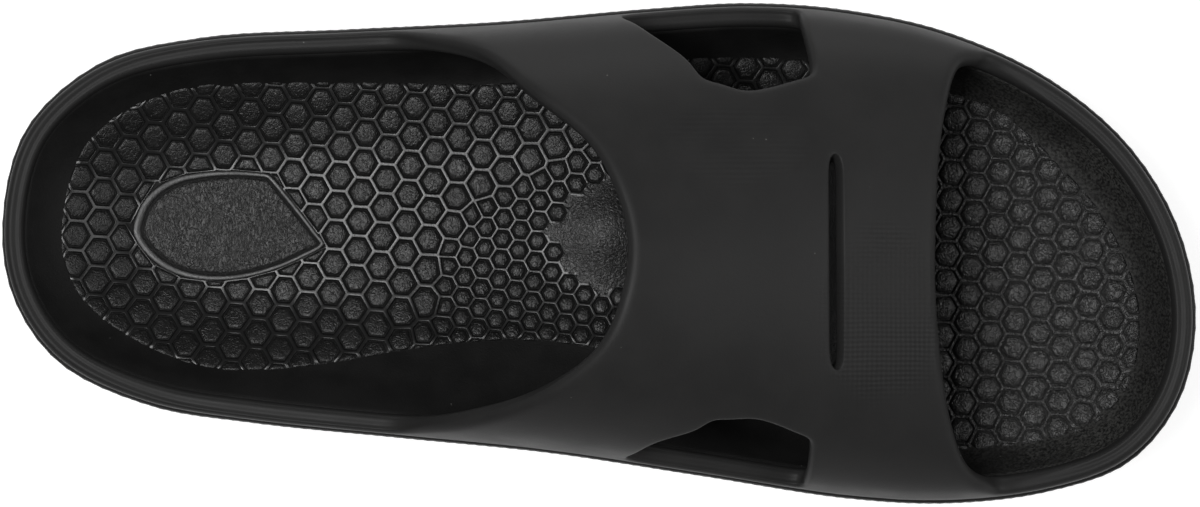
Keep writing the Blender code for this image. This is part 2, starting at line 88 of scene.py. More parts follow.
def smoothCurve(knots, values, places):
    # monotone cubic through the knots, for one place or many
    knots = np.asarray(knots, float)
    values = np.asarray(values, float)
    steps = np.diff(knots)
    rates = np.diff(values) / steps
    slopes = np.zeros(len(knots))
    slopes[0] = rates[0]
    slopes[-1] = rates[-1]
    for k in range(1, len(knots) - 1):
        if rates[k - 1] * rates[k] > 0:
            slopes[k] = 2 * rates[k - 1] * rates[k] / (rates[k - 1] + rates[k])
    places = np.clip(places, knots[0], knots[-1])
    k = np.clip(np.searchsorted(knots, places, side="right") - 1, 0, len(steps) - 1)
    t = (places - knots[k]) / steps[k]
    level = values[k] * (2 * t**3 - 3 * t**2 + 1) + values[k + 1] * (3 * t**2 - 2 * t**3)
    return level + steps[k] * (slopes[k] * (t**3 - 2 * t**2 + t) + slopes[k + 1] * (t**3 - t**2))


def profile(name, x):
    return smoothCurve(profileColumns["along"], profileColumns[name], np.asarray(x) / half)


def closedCurve(points, samples):
    # smooth closed curve through plan points
    points = np.array(points, float)
    after = np.roll(points, -1, axis=0)
    gaps = np.sqrt(np.linalg.norm(after - points, axis=1))[:, None]
    before = np.roll(gaps, 1, axis=0)
    steps = (after - points) / gaps
    slopes = (np.roll(steps, 1, axis=0) * gaps + steps * before) / (before + gaps)
    t = (np.arange(samples) / samples)[None, :, None]
    spot = points[:, None] * (2 * t**3 - 3 * t**2 + 1) + after[:, None] * (3 * t**2 - 2 * t**3)
    turn = slopes[:, None] * (t**3 - 2 * t**2 + t) + np.roll(slopes, -1, axis=0)[:, None] * (t**3 - t**2)
    return (spot + turn * gaps[:, None]).reshape(-1, 2)


def buildOutline():
    dense = closedCurve([(a * half, b * shoe["width"] / 2) for a, b in outlineRows],
                        shoe["outlineSamples"])
    middle = (dense.max(axis=0) + dense.min(axis=0)) / 2
    spans = dense.max(axis=0) - dense.min(axis=0)
    dense = (dense - middle) * np.array([shoe["length"], shoe["width"]]) / spans
    return np.roll(dense, -int(dense[:, 0].argmin()), axis=0)


outline = buildOutline()
toeIndex = int(outline[:, 0].argmax())
closedOutline = np.vstack([outline, outline[:1]])
travel = np.concatenate([[0], np.cumsum(np.linalg.norm(np.diff(closedOutline, axis=0), axis=1))])
girth = travel[-1]
toeTravel = travel[toeIndex]
tangents = np.roll(outline, -1, axis=0) - np.roll(outline, 1, axis=0)
tangents /= np.linalg.norm(tangents, axis=1)[:, None]
inward = np.column_stack([tangents[:, 1], -tangents[:, 0]])
closedInward = np.vstack([inward, inward[:1]])


def rimSpot(distance, inset):
    distance = distance % girth
    x, y = [np.interp(distance, travel, closedOutline[:, axis]) for axis in (0, 1)]
    nx, ny = [np.interp(distance, travel, closedInward[:, axis]) for axis in (0, 1)]
    size = np.hypot(nx, ny)
    return x + nx / size * inset, y + ny / size * inset


def lateralTravel(x):
    return np.interp(x, outline[:toeIndex + 1, 0], travel[:toeIndex + 1])


def medialTravel(x):
    return np.interp(-np.asarray(x), -closedOutline[toeIndex:, 0], travel[toeIndex:])


def edgeDistances(x, y):
    # how far inside the outline each place lies
    spots = np.column_stack([np.ravel(x), np.ravel(y)])
    result = np.empty(len(spots))
    blockSize = 4000
    for start in range(0, len(spots), blockSize):
        block = spots[start:start + blockSize]
        gaps = ((block[:, None, :] - outline[None, ::2, :]) ** 2).sum(axis=2)
        result[start:start + blockSize] = np.sqrt(gaps.min(axis=1))
    return result.reshape(np.shape(x))


def acrossShares(x, y):
    top = np.interp(lateralTravel(x), travel, closedOutline[:, 1])
    low = np.interp(medialTravel(x), travel, closedOutline[:, 1])
    return (y - (top + low) / 2) / np.maximum((top - low) / 2, mm)


def groundHeights(x):
    share = np.asarray(x) / half
    toe = np.clip((share - shoe["springStart"]) / (1 - shoe["springStart"]), 0, None) ** 2
    heel = np.clip((-share - shoe["liftStart"]) / (1 - shoe["liftStart"]), 0, None) ** 2
    waist = np.clip((share - shoe["waistFrom"]) / (shoe["waistTo"] - shoe["waistFrom"]), 0, 1)
    return (shoe["toeSpring"] * toe + shoe["heelLift"] * heel
            + shoe["waistRelief"] * np.sin(math.pi * waist) ** 2)


def ledgeHeights(x):
    return profile("ledge", x) * shoe["ledgeHeight"]


dome = {"x": 0.0025, "y": 0.0050, "long": 0.0190, "wide": 0.0170, "rise": 0.0036}
cup = {"rise": 0.0180, "reach": 0.0320, "power": 1.5, "archRise": 0.0150, "archFrom": 0.08, "archPower": 1.6}


def bedHeights(x, y):
    # smooth footbed: cup, arch on the medial side and the dome behind the ball of the foot
    x = np.asarray(x, float)
    y = np.asarray(y, float)
    reach = np.clip(1 - edgeDistances(x, y) / cup["reach"], 0, None)
    medial = np.clip((-acrossShares(x, y) - cup["archFrom"]) / (1 - cup["archFrom"]), 0, None)
    height = profile("bed", x) * shoe["bedHeight"] + profile("cup", x) * cup["rise"] * reach ** cup["power"]
    height += profile("arch", x) * cup["archRise"] * medial ** cup["archPower"]
    away = np.hypot((x - dome["x"]) / dome["long"], (y - dome["y"]) / dome["wide"])
    return height + dome["rise"] * (0.5 + 0.5 * np.cos(math.pi * np.clip(away, 0, 1)))


def newObject(name, data):
    # every object of the scene is made here
    made = bpy.data.objects.new(name, data)
    bpy.context.scene.collection.objects.link(made)
    return made


def meshObject(name, mesh):
    data = bpy.data.meshes.new(name)
    mesh.to_mesh(data)
    mesh.free()
    return newObject(name, data)


def newPiece(name, mesh, node, smooth=True):
    # turns a bmesh into a piece that stands for a node of the frame
    bmesh.ops.recalc_face_normals(mesh, faces=mesh.faces)
    piece = meshObject(name, mesh)
    for face in piece.data.polygons:
        face.use_smooth = smooth
    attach(piece, "root")
    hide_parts(node)
    return piece


def joinLoops(mesh, loops):
    # four-sided faces between neighbouring loops of points
    for lower, higher in zip(loops[:-1], loops[1:]):
        for k in range(len(lower)):
            other = (k + 1) % len(lower)
            mesh.faces.new((lower[k], lower[other], higher[other], higher[k]))


# upper: rim and strap as one cage, rounded by subdivision
upper = {
    "baseInset": 0.0012,
    "rimInset": 0.0020,
    "rimWall": 0.0042,
    "strapWall": 0.0052,
    "wallBlend": 0.12,
    "fullness": 0.90,
    "skew": 0.10,
    "windowBulge": 0.0017,
    "slotBulge": 0.0012,
    "edgeBulge": 0.0030,
    "edgeSet": 0.55,
    "heelCuts": 30,
    "toeCuts": 22,
    "levels": 2,
    "normalStep": 0.001,
    # sections of the rim and under the strap: inset and drop below the crest, in mm
    "rimSection": ((1.55, 0.85), (2.30, 0.12), (3.20, 0.02), (4.05, 0.50), (4.85, 0.12), (5.70, 0.60)),
    "strapSection": ((1.50, 0.60), (2.30, 0.0), (3.25, -0.10), (4.05, 0.0), (4.95, 0.30), (5.80, 1.15)),
    # how far the rim's section shifts outward along the sides, in mm, and from where to where
    "sideShift": (0.1, 0.35, 0.85, 1.0, 0.6, 0.1),
    "sideSpan": (-0.130, -0.085, 0.070, 0.110),
    # groove in the collar's edge: share of its depth at each step over the edge
    "edgeGroove": (0.0, 0.05, 0.35, 1.0, 0.30, 0.0),
    "grooveDepth": 0.0007,
    # the rim's section turns into the strap's over this way beside the toe opening
    "sectionBlend": 0.022,
    "rimOuter": (1.20, 2.3),
    "rimInner": (6.20, 2.9),
    "innerBase": 0.0070,
    "outerMiddle": 0.0011,
}

strapAlong = (
    (-0.331, -0.195, -0.114, 0.003, 0.056, 0.023, -0.094, -0.207, -0.331),
    (0.026, 0.084, 0.166, 0.160, 0.160, 0.165, 0.182, 0.086, 0.032),
    (0.179, 0.207, 0.248, 0.235, 0.228, 0.235, 0.262, 0.207, 0.179),
    (0.334, 0.348, 0.361, 0.324, 0.310, 0.324, 0.354, 0.347, 0.337),
    (0.414, 0.403, 0.393, 0.379, 0.379, 0.379, 0.393, 0.403, 0.414),
    (0.483, 0.448, 0.421, 0.402, 0.402, 0.402, 0.421, 0.448, 0.483),
    (0.656, 0.600, 0.574, 0.559, 0.552, 0.561, 0.584, 0.612, 0.668),
)
strapAcross = (
    (0.0, 0.130, 0.250, 0.370, 0.510, 0.640, 0.780, 0.880, 1.0),
    (0.0, 0.133, 0.255, 0.370, 0.510, 0.650, 0.780, 0.868, 1.0),
    (0.0, 0.130, 0.278, 0.370, 0.510, 0.650, 0.765, 0.890, 1.0),
    (0.0, 0.120, 0.239, 0.365, 0.510, 0.660, 0.792, 0.900, 1.0),
    (0.0, 0.120, 0.250, 0.364, 0.510, 0.664, 0.785, 0.890, 1.0),
    (0.0, 0.120, 0.250, 0.364, 0.510, 0.664, 0.785, 0.890, 1.0),
    (0.0, 0.120, 0.250, 0.360, 0.510, 0.640, 0.777, 0.880, 1.0),
)
lineCuts = (6, 3, 3, 2, 1, 4)
placeCuts = (3, 3, 3, 3, 3, 3, 3, 3)
windowLines = (1, 3)
slotLines = (4, 5)
slotPlaces = (3, 5)
lateralPlaces = (0, 2)
medialPlaces = (6, 8)


def rimHeights(distances):
    x, y = rimSpot(distances, upper["rimInset"])
    isLateral = np.asarray(distances) % girth <= toeTravel
    return np.where(isLateral, profile("rimLateral", x), profile("rimMedial", x)) * shoe["rimHeight"]


def rimPoint(distance, inset, drop):
    x, y = rimSpot(distance, inset)
    return Vector((x, y, float(rimHeights(distance)) - drop))


def strapOuter(x, across):
    lateral = rimPoint(lateralTravel(x), upper["rimInset"], 0)
    medial = rimPoint(medialTravel(x), upper["rimInset"], 0)
    turn = math.pi * min(max(across, 0), 1)
    spot = lateral.lerp(medial, 0.5 - 0.5 * math.cos(turn))
    lift = math.sin(turn) ** upper["fullness"] * (1 - upper["skew"] * math.cos(turn))
    spot.z += float(profile("strap", x)) * shoe["strapRise"] * lift
    return spot


def strapNormal(x, across):
    step = upper["normalStep"]
    over = strapOuter(x, min(across + 2 * step, 1)) - strapOuter(x, max(across - 2 * step, 0))
    along = strapOuter(x + step, across) - strapOuter(x - step, across)
    return over.cross(along).normalized()


def strapPlace(line, place):
    lineKnots = range(len(strapAlong))
    placeKnots = range(len(strapAlong[0]))
    values = []
    for table in (strapAlong, strapAcross):
        cross = [float(smoothCurve(placeKnots, row, place)) for row in table]
        values.append(float(smoothCurve(lineKnots, cross, line)))
    return values[0] * half, values[1]


def spread(cuts):
    result = []
    for k, count in enumerate(cuts):
        result += [k + step / count for step in range(count)]
    return result + [float(len(cuts))]


def buildUpper():
    lines = spread(lineCuts)
    places = spread(placeCuts)
    lastPlace = len(places) - 1
    lateral = [float(lateralTravel(strapPlace(line, 0)[0])) for line in lines]
    medial = [float(medialTravel(strapPlace(line, len(placeCuts))[0])) for line in lines]
    stations = [(("lateral", k), distance) for k, distance in enumerate(lateral)]
    toeFrom = lateral[-1]
    toeTo = medial[-1]
    for k in range(1, upper["toeCuts"]):
        stations.append((("toe", k), toeFrom + (toeTo - toeFrom) * k / upper["toeCuts"]))
    stations += [(("medial", k), medial[k]) for k in range(len(lines) - 1, -1, -1)]
    heelFrom = stations[-1][1]
    heelTo = stations[0][1] + girth
    for k in range(1, upper["heelCuts"]):
        stations.append((("heel", k), heelFrom + (heelTo - heelFrom) * k / upper["heelCuts"]))

    outer = {}
    inner = {}
    ringDistance = {}
    for tag, distance in stations:
        ringDistance[tag] = distance
        x = rimSpot(distance, upper["baseInset"])[0]
        baseZ = float(ledgeHeights(x)) + shoe["fitGap"]
        innerMiddle = upper["innerBase"] * 0.5 + upper["rimInner"][0] * mm * 0.5
        for sheet, base, middle, (inset, drop) in (
                (outer, upper["baseInset"], upper["outerMiddle"], upper["rimOuter"]),
                (inner, upper["innerBase"], innerMiddle, upper["rimInner"])):
            top = rimPoint(distance, inset * mm, drop * mm)
            sheet[tag, 0] = Vector((*rimSpot(distance, base), baseZ))
            sheet[tag, 1] = Vector((*rimSpot(distance, middle), baseZ * 0.5 + top.z * 0.5))
            sheet[tag, 2] = top
    for k, line in enumerate(lines):
        for m in range(1, lastPlace):
            x, across = strapPlace(line, places[m])
            edge = min(1, min(across, 1 - across) / upper["wallBlend"])
            wall = upper["rimWall"] + (upper["strapWall"] - upper["rimWall"]) * edge
            outer["strap", k, m] = strapOuter(x, across)
            inner["strap", k, m] = strapOuter(x, across) - strapNormal(x, across) * wall

    def strapKey(k, m):
        if m == 0:
            return (("lateral", k), 2)
        if m == lastPlace:
            return (("medial", k), 2)
        return ("strap", k, m)

    def isInside(value, bounds):
        return bounds[0] < value < bounds[1]

    def isOpen(line, place):
        side = isInside(place, lateralPlaces) or isInside(place, medialPlaces)
        slot = isInside(line, slotLines) and isInside(place, slotPlaces)
        return slot or (side and isInside(line, windowLines))

    cells = []
    for k in range(len(stations)):
        here = stations[k][0]
        there = stations[(k + 1) % len(stations)][0]
        for level in (0, 1):
            cells.append(((here, level), (there, level), (there, level + 1), (here, level + 1)))
    for k in range(len(lines) - 1):
        for m in range(lastPlace):
            if not isOpen((lines[k] + lines[k + 1]) / 2, (places[m] + places[m + 1]) / 2):
                corners = ((k, m), (k + 1, m), (k + 1, m + 1), (k, m + 1))
                cells.append(tuple(strapKey(*corner) for corner in corners))

    # free edges of the sheet: what lies beyond them is a hole
    edgeUse = {}
    around = {}
    for cell in cells:
        middle = sum((outer[key] for key in cell), Vector()) / 4
        for k in range(4):
            pair = (cell[k], cell[(k + 1) % 4])
            edgeUse.setdefault(frozenset(pair), []).append(pair)
            around.setdefault(cell[k], []).append(middle)
    freeEdges = [pairs[0] for pairs in edgeUse.values() if len(pairs) == 1]
    baseKeys = set((tag, 0) for tag, distance in stations)
    rimEdges = [pair for pair in freeEdges if not (pair[0] in baseKeys and pair[1] in baseKeys)]
    beside = {}
    for start, end in rimEdges:
        beside.setdefault(start, []).append(end)
        beside.setdefault(end, []).append(start)

    mesh = bmesh.new()
    section = upper["rimSection"]
    toeEnds = (toeFrom, toeTo)
    outerVerts = {}
    innerVerts = {}
    rowVerts = {}
    for key in beside:
        # rounded edge of the strap, or the bead and groove of the rim
        wall = inner[key] - outer[key]
        thick = wall.length
        wall = wall / thick
        out = outer[key] - sum(around[key], Vector()) / len(around[key])
        run = (outer[beside[key][0]] - outer[beside[key][-1]]).normalized()
        out -= wall * out.dot(wall)
        out -= run * out.dot(run)
        out.normalize()
        onRim = key[1] == 2
        bulge = upper["edgeBulge"]
        if not onRim and 0 < lines[key[1]] < lines[-1]:
            atLine = slotLines[0] <= lines[key[1]] <= slotLines[1]
            isSlot = atLine and slotPlaces[0] <= places[key[2]] <= slotPlaces[1]
            bulge = upper["slotBulge" if isSlot else "windowBulge"]
        rows = []
        for step in range(1, len(section) + 1):
            if onRim:
                inset, drop = section[step - 1]
                x = float(rimSpot(ringDistance[key[0]], 0)[0])
                inset -= upper["sideShift"][step - 1] * float(smoothCurve(upper["sideSpan"], (0, 1, 1, 0), x))
                away = min(abs(ringDistance[key[0]] - end) for end in toeEnds)
                share = min(away / upper["sectionBlend"], 1) ** 2
                drop = drop * share + upper["strapSection"][step - 1][1] * (1 - share)
                spot = rimPoint(ringDistance[key[0]], inset * mm, drop * mm)
            else:
                turn = math.pi * step / (len(section) + 1)
                spot = outer[key] + wall * thick * (0.5 - 0.5 * math.cos(turn))
                spot += out * bulge * (math.sin(turn) - upper["edgeSet"])
                if lines[key[1]] == 0:
                    spot -= out * upper["grooveDepth"] * upper["edgeGroove"][step - 1]
            rows.append(spot)
        if not onRim:
            outer[key] = outer[key] - out * bulge * upper["edgeSet"]
            inner[key] = inner[key] - out * bulge * upper["edgeSet"]
        rowVerts[key] = [mesh.verts.new(spot) for spot in rows]
    for key in outer:
        outerVerts[key] = mesh.verts.new(outer[key])
        innerVerts[key] = mesh.verts.new(inner[key])
    for cell in cells:
        mesh.faces.new([outerVerts[key] for key in cell])
        mesh.faces.new([innerVerts[key] for key in reversed(cell)])
    crease = mesh.edges.layers.float.new("crease_edge")
    for start, end in freeEdges:
        if start in baseKeys and end in baseKeys:
            mesh.faces.new((outerVerts[end], outerVerts[start], innerVerts[start], innerVerts[end]))
            mesh.edges.get((outerVerts[start], outerVerts[end]))[crease] = 1
            mesh.edges.get((innerVerts[start], innerVerts[end]))[crease] = 1
            continue
        first = [outerVerts[start]] + rowVerts[start] + [innerVerts[start]]
        second = [outerVerts[end]] + rowVerts[end] + [innerVerts[end]]
        for k in range(len(first) - 1):
            mesh.faces.new((second[k], first[k], first[k + 1], second[k + 1]))
    piece = newPiece("strap_and_rim", mesh, "upper")
    rounding = piece.modifiers.new("rounding", "SUBSURF")
    rounding.levels = upper["levels"]
    rounding.render_levels = upper["levels"]
    return piece


strapAndRim = buildUpper()
print("upper:", len(strapAndRim.data.vertices), "cage points")


# rings and ladders, used by the footbed, the side wall and the sole
def ringDistances(stationCount):
    return np.concatenate([
        np.linspace(0, toeTravel, stationCount, endpoint=False),
        np.linspace(toeTravel, girth, stationCount, endpoint=False),
    ])


def ringPoints(inset, stationCount, heights):
    x, y = rimSpot(ringDistances(stationCount), inset)
    return np.column_stack([x, y, heights(x, y)])


def ladder(mesh, ring, strips, heights):
    # rungs between the lateral and medial halves of a ring
    count = len(ring)
    middle = count // 2
    spots = []
    for k in range(1, middle):
        first = ring[k].co
        last = ring[count - k].co
        for step in range(1, strips):
            spots.append(first.lerp(last, step / strips)[:2])
    spots = np.array(spots)
    levels = heights(spots[:, 0], spots[:, 1])
    made = iter([mesh.verts.new((a, b, c)) for (a, b), c in zip(spots, levels)])
    rungs = []
    for k in range(1, middle):
        rungs.append([ring[k]] + [next(made) for step in range(1, strips)] + [ring[count - k]])
    for step in range(strips):
        mesh.faces.new((ring[0], rungs[0][step], rungs[0][step + 1]))
        mesh.faces.new((ring[middle], rungs[-1][step + 1], rungs[-1][step]))
    for before, after in zip(rungs[:-1], rungs[1:]):
        for step in range(strips):
            mesh.faces.new((before[step], after[step], after[step + 1], before[step + 1]))


def ringStack(rings, lowCap, highCap):
    mesh = bmesh.new()
    loops = [[mesh.verts.new(spot) for spot in ring] for ring in rings]
    joinLoops(mesh, loops)
    ladder(mesh, loops[0], *lowCap)
    ladder(mesh, loops[-1], *highCap)
    return mesh


# footbed skin: tucked under the rim's lip, then one smooth cup wall and the bowl
bedSkin = {
    "stations": 170,
    "strips": 46,
    "plate": 0.0050,
    "floorInset": 0.0160,
    "edgeInset": 0.0074,
    "bowlInset": 0.0185,
    # the wall's top edge under the rim: inset and drop below the crest, in mm
    "tuck": ((5.3, 4.6), (5.5, 3.3)),
    "wallTop": (6.15, 3.0),
    "wallFoot": 15.2,
    "wallHollow": 2.1,
    "wallRows": 11,
}


def skinBottom(x, y):
    return bedHeights(x, y) - bedSkin["plate"]


def buildBedSkin():
    count = bedSkin["stations"]
    distances = ringDistances(count)
    crest = rimHeights(distances)
    topInset, topDrop = bedSkin["wallTop"]
    x, y = rimSpot(distances, topInset * mm)
    stand = crest - topDrop * mm - bedHeights(x, y)
    rings = [ringPoints(bedSkin[inset], count, skinBottom) for inset in ("floorInset", "edgeInset")]
    for inset, drop in bedSkin["tuck"]:
        x, y = rimSpot(distances, inset * mm)
        rings.append(np.column_stack([x, y, crest - drop * mm]))
    for row in range(bedSkin["wallRows"] + 1):
        share = row / bedSkin["wallRows"]
        x, y = rimSpot(distances, (topInset + (bedSkin["wallFoot"] - topInset) * share) * mm)
        rings.append(np.column_stack([x, y, bedHeights(x, y) + stand * (1 - share) ** bedSkin["wallHollow"]]))
    rings.append(ringPoints(bedSkin["bowlInset"], count, bedHeights))
    mesh = ringStack(rings, (bedSkin["strips"], skinBottom), (bedSkin["strips"], bedHeights))
    return newPiece("footbed", mesh, "insole")


footbed = buildBedSkin()
print("footbed skin made")


# side wall of the midsole: small facets in staggered rows, a rounded ledge and the recess
sideWall = {
    "stationsPerSide": 272,
    "stationsPerFacet": 4,
    "facetDepth": 0.00013,
    # share of the way up, inset in mm, share of the facet depth, turn of the row in facets
    "rows": (
        (0.00, 1.60, 0.0, 0.0), (0.02, 1.05, 0.0, 0.0), (0.06, 0.50, 0.6, 0.0), (0.12, 0.25, 1.0, 0.0),
        (0.26, 0.05, 1.0, 0.0), (0.32, 0.05, 1.0, 0.5), (0.48, 0.0, 1.0, 0.5), (0.54, 0.0, 1.0, 0.0),
        (0.70, 0.0, 1.0, 0.0), (0.76, 0.05, 1.0, 0.5), (0.90, 0.10, 1.0, 0.5), (0.96, 0.28, 0.6, 0.5),
        (0.99, 0.55, 0.0, 0.0), (1.00, 0.95, 0.0, 0.0),
    ),
    "recessInset": 0.0095,
    "recessDepth": 0.0115,
    "floorInset": 0.0160,
    "plate": 0.0045,
    "strips": 10,
}


def groundLevel(x, y):
    return groundHeights(x)


def treadField(x, y):
    return groundHeights(x) + shoe["lugDepth"]


def treadTop(x, y):
    return treadField(x, y) + sideWall["plate"]


def wallBottom(x, y):
    return treadTop(x, y) + shoe["fitGap"]


def wallTop(x, y):
    return ledgeHeights(x)


def recessFloor(x, y):
    return ledgeHeights(x) - sideWall["recessDepth"]


def mixedHeights(low, high, share):
    return lambda x, y: low(x, y) * (1 - share) + high(x, y) * share


def buildSideWall():
    count = sideWall["stationsPerSide"]
    steps = np.arange(2 * count) / sideWall["stationsPerFacet"]
    rings = [ringPoints(sideWall["floorInset"], count, wallBottom)]
    for up, inset, facet, turn in sideWall["rows"]:
        place = (steps + turn) % 1
        hollow = facet * sideWall["facetDepth"] * (1 - (2 * place - 1) ** 2)
        rings.append(ringPoints(inset * mm + hollow, count, mixedHeights(wallBottom, wallTop, up)))
    recess = (("recessInset", wallTop), ("recessInset", recessFloor), ("floorInset", recessFloor))
    rings += [ringPoints(sideWall[inset], count, heights) for inset, heights in recess]
    mesh = ringStack(rings, (sideWall["strips"], wallBottom), (sideWall["strips"], recessFloor))
    return newPiece("side_wall", mesh, "midsole")


sideWallPiece = buildSideWall()
print("side wall made")


# outsole: plate, edge rail with sipes, six-sided lugs with a cut ring, and nubs between them
tread = {
    "stationsPerSide": 272,
    # side rows: inset in mm and share of the way up
    "sideRows": ((1.4, 1.0), (0.8, 0.92), (0.5, 0.78), (0.5, 0.34), (0.8, 0.22), (2.0, 0.04)),
    "railFrom": 0.0028,
    "railInset": 0.0072,
    "railLip": 0.0004,
    # the rail's inner slope: way inward from the rail in mm and share of the way to the field
    "slopeRows": ((0.0, 0.12), (0.6, 0.85), (1.1, 1.0)),
    "fieldInset": 0.0160,
    "sipeEvery": 6,
    "sipeDepth": 0.0012,
    "lugAcross": 0.0165,
    "lugSpacing": 0.0205,
    "lugMargin": 0.0085,
    # lug rows: share of its radius, height over the ground in mm
    "lugRows": ((0.995, 3.9), (0.985, 2.6), (0.925, 0.35), (0.895, 0.05), (0.88, 0.0), (0.66, 0.0),
                (0.635, 0.12), (0.615, 1.25), (0.53, 1.25), (0.505, 0.12), (0.48, 0.0), (0.22, 0.0)),
    "nubRadius": 0.0014,
    "nubMargin": 0.0030,
    "nubSides": 10,
    "nubRows": ((1.0, 3.4), (0.92, 1.9), (0.75, 1.45), (0.4, 1.3)),
    "strips": 10,
}


def addStack(mesh, x, y, radius, sides, rows):
    # a closed-top button of stacked rings standing down from the plate
    loops = []
    angles = np.arange(sides) * 2 * math.pi / sides
    for share, lift in rows:
        xs = x + radius * share * np.cos(angles)
        ys = y + radius * share * np.sin(angles)
        zs = groundHeights(xs) + lift * mm
        loops.append([mesh.verts.new(spot) for spot in zip(xs, ys, zs)])
    joinLoops(mesh, loops)
    mesh.faces.new(loops[-1])
    mesh.faces.new(loops[0])


def buildTread():
    count = tread["stationsPerSide"]
    sipes = (np.arange(2 * count) % tread["sipeEvery"] == 0) * tread["sipeDepth"]
    rail = tread["railInset"]

    def railHeights(x, y):
        return groundHeights(x) + sipes

    rings = [ringPoints(tread["fieldInset"], count, treadTop)]
    for inset, up in tread["sideRows"]:
        rings.append(ringPoints(inset * mm, count, mixedHeights(groundLevel, treadTop, up)))
    rings += [ringPoints(inset, count, railHeights) for inset in (tread["railFrom"], rail - tread["railLip"])]
    for inset, up in tread["slopeRows"]:
        rings.append(ringPoints(rail + inset * mm, count, mixedHeights(groundLevel, treadField, up)))
    rings.append(ringPoints(tread["fieldInset"], count, treadField))
    mesh = ringStack(rings, (tread["strips"], treadTop), (tread["strips"], treadField))
    spacing = tread["lugSpacing"]
    rowStep = spacing * math.sqrt(3) / 2
    rows = int(half / rowStep) + 1
    columns = int(shoe["width"] / spacing) + 1

    def hasRoom(x, y, margin):
        if abs(x) > half or abs(float(acrossShares(x, y))) >= 1:
            return False
        return float(edgeDistances(x, y)) >= rail + margin

    for row in range(-rows, rows + 1):
        for column in range(-columns, columns + 1):
            x = row * rowStep
            y = (column + 0.5 * (row % 2)) * spacing
            if hasRoom(x, y, tread["lugMargin"]):
                addStack(mesh, x, y, tread["lugAcross"] / math.sqrt(3), 6, tread["lugRows"])
            for nubX in (x - rowStep * 2 / 3, x + rowStep * 2 / 3):
                if hasRoom(nubX, y, tread["nubMargin"]):
                    addStack(mesh, nubX, y, tread["nubRadius"], tread["nubSides"], tread["nubRows"])
    return newPiece("tread", mesh, "outsole", smooth=False)


treadPiece = buildTread()
print("tread:", len(treadPiece.data.polygons), "faces")


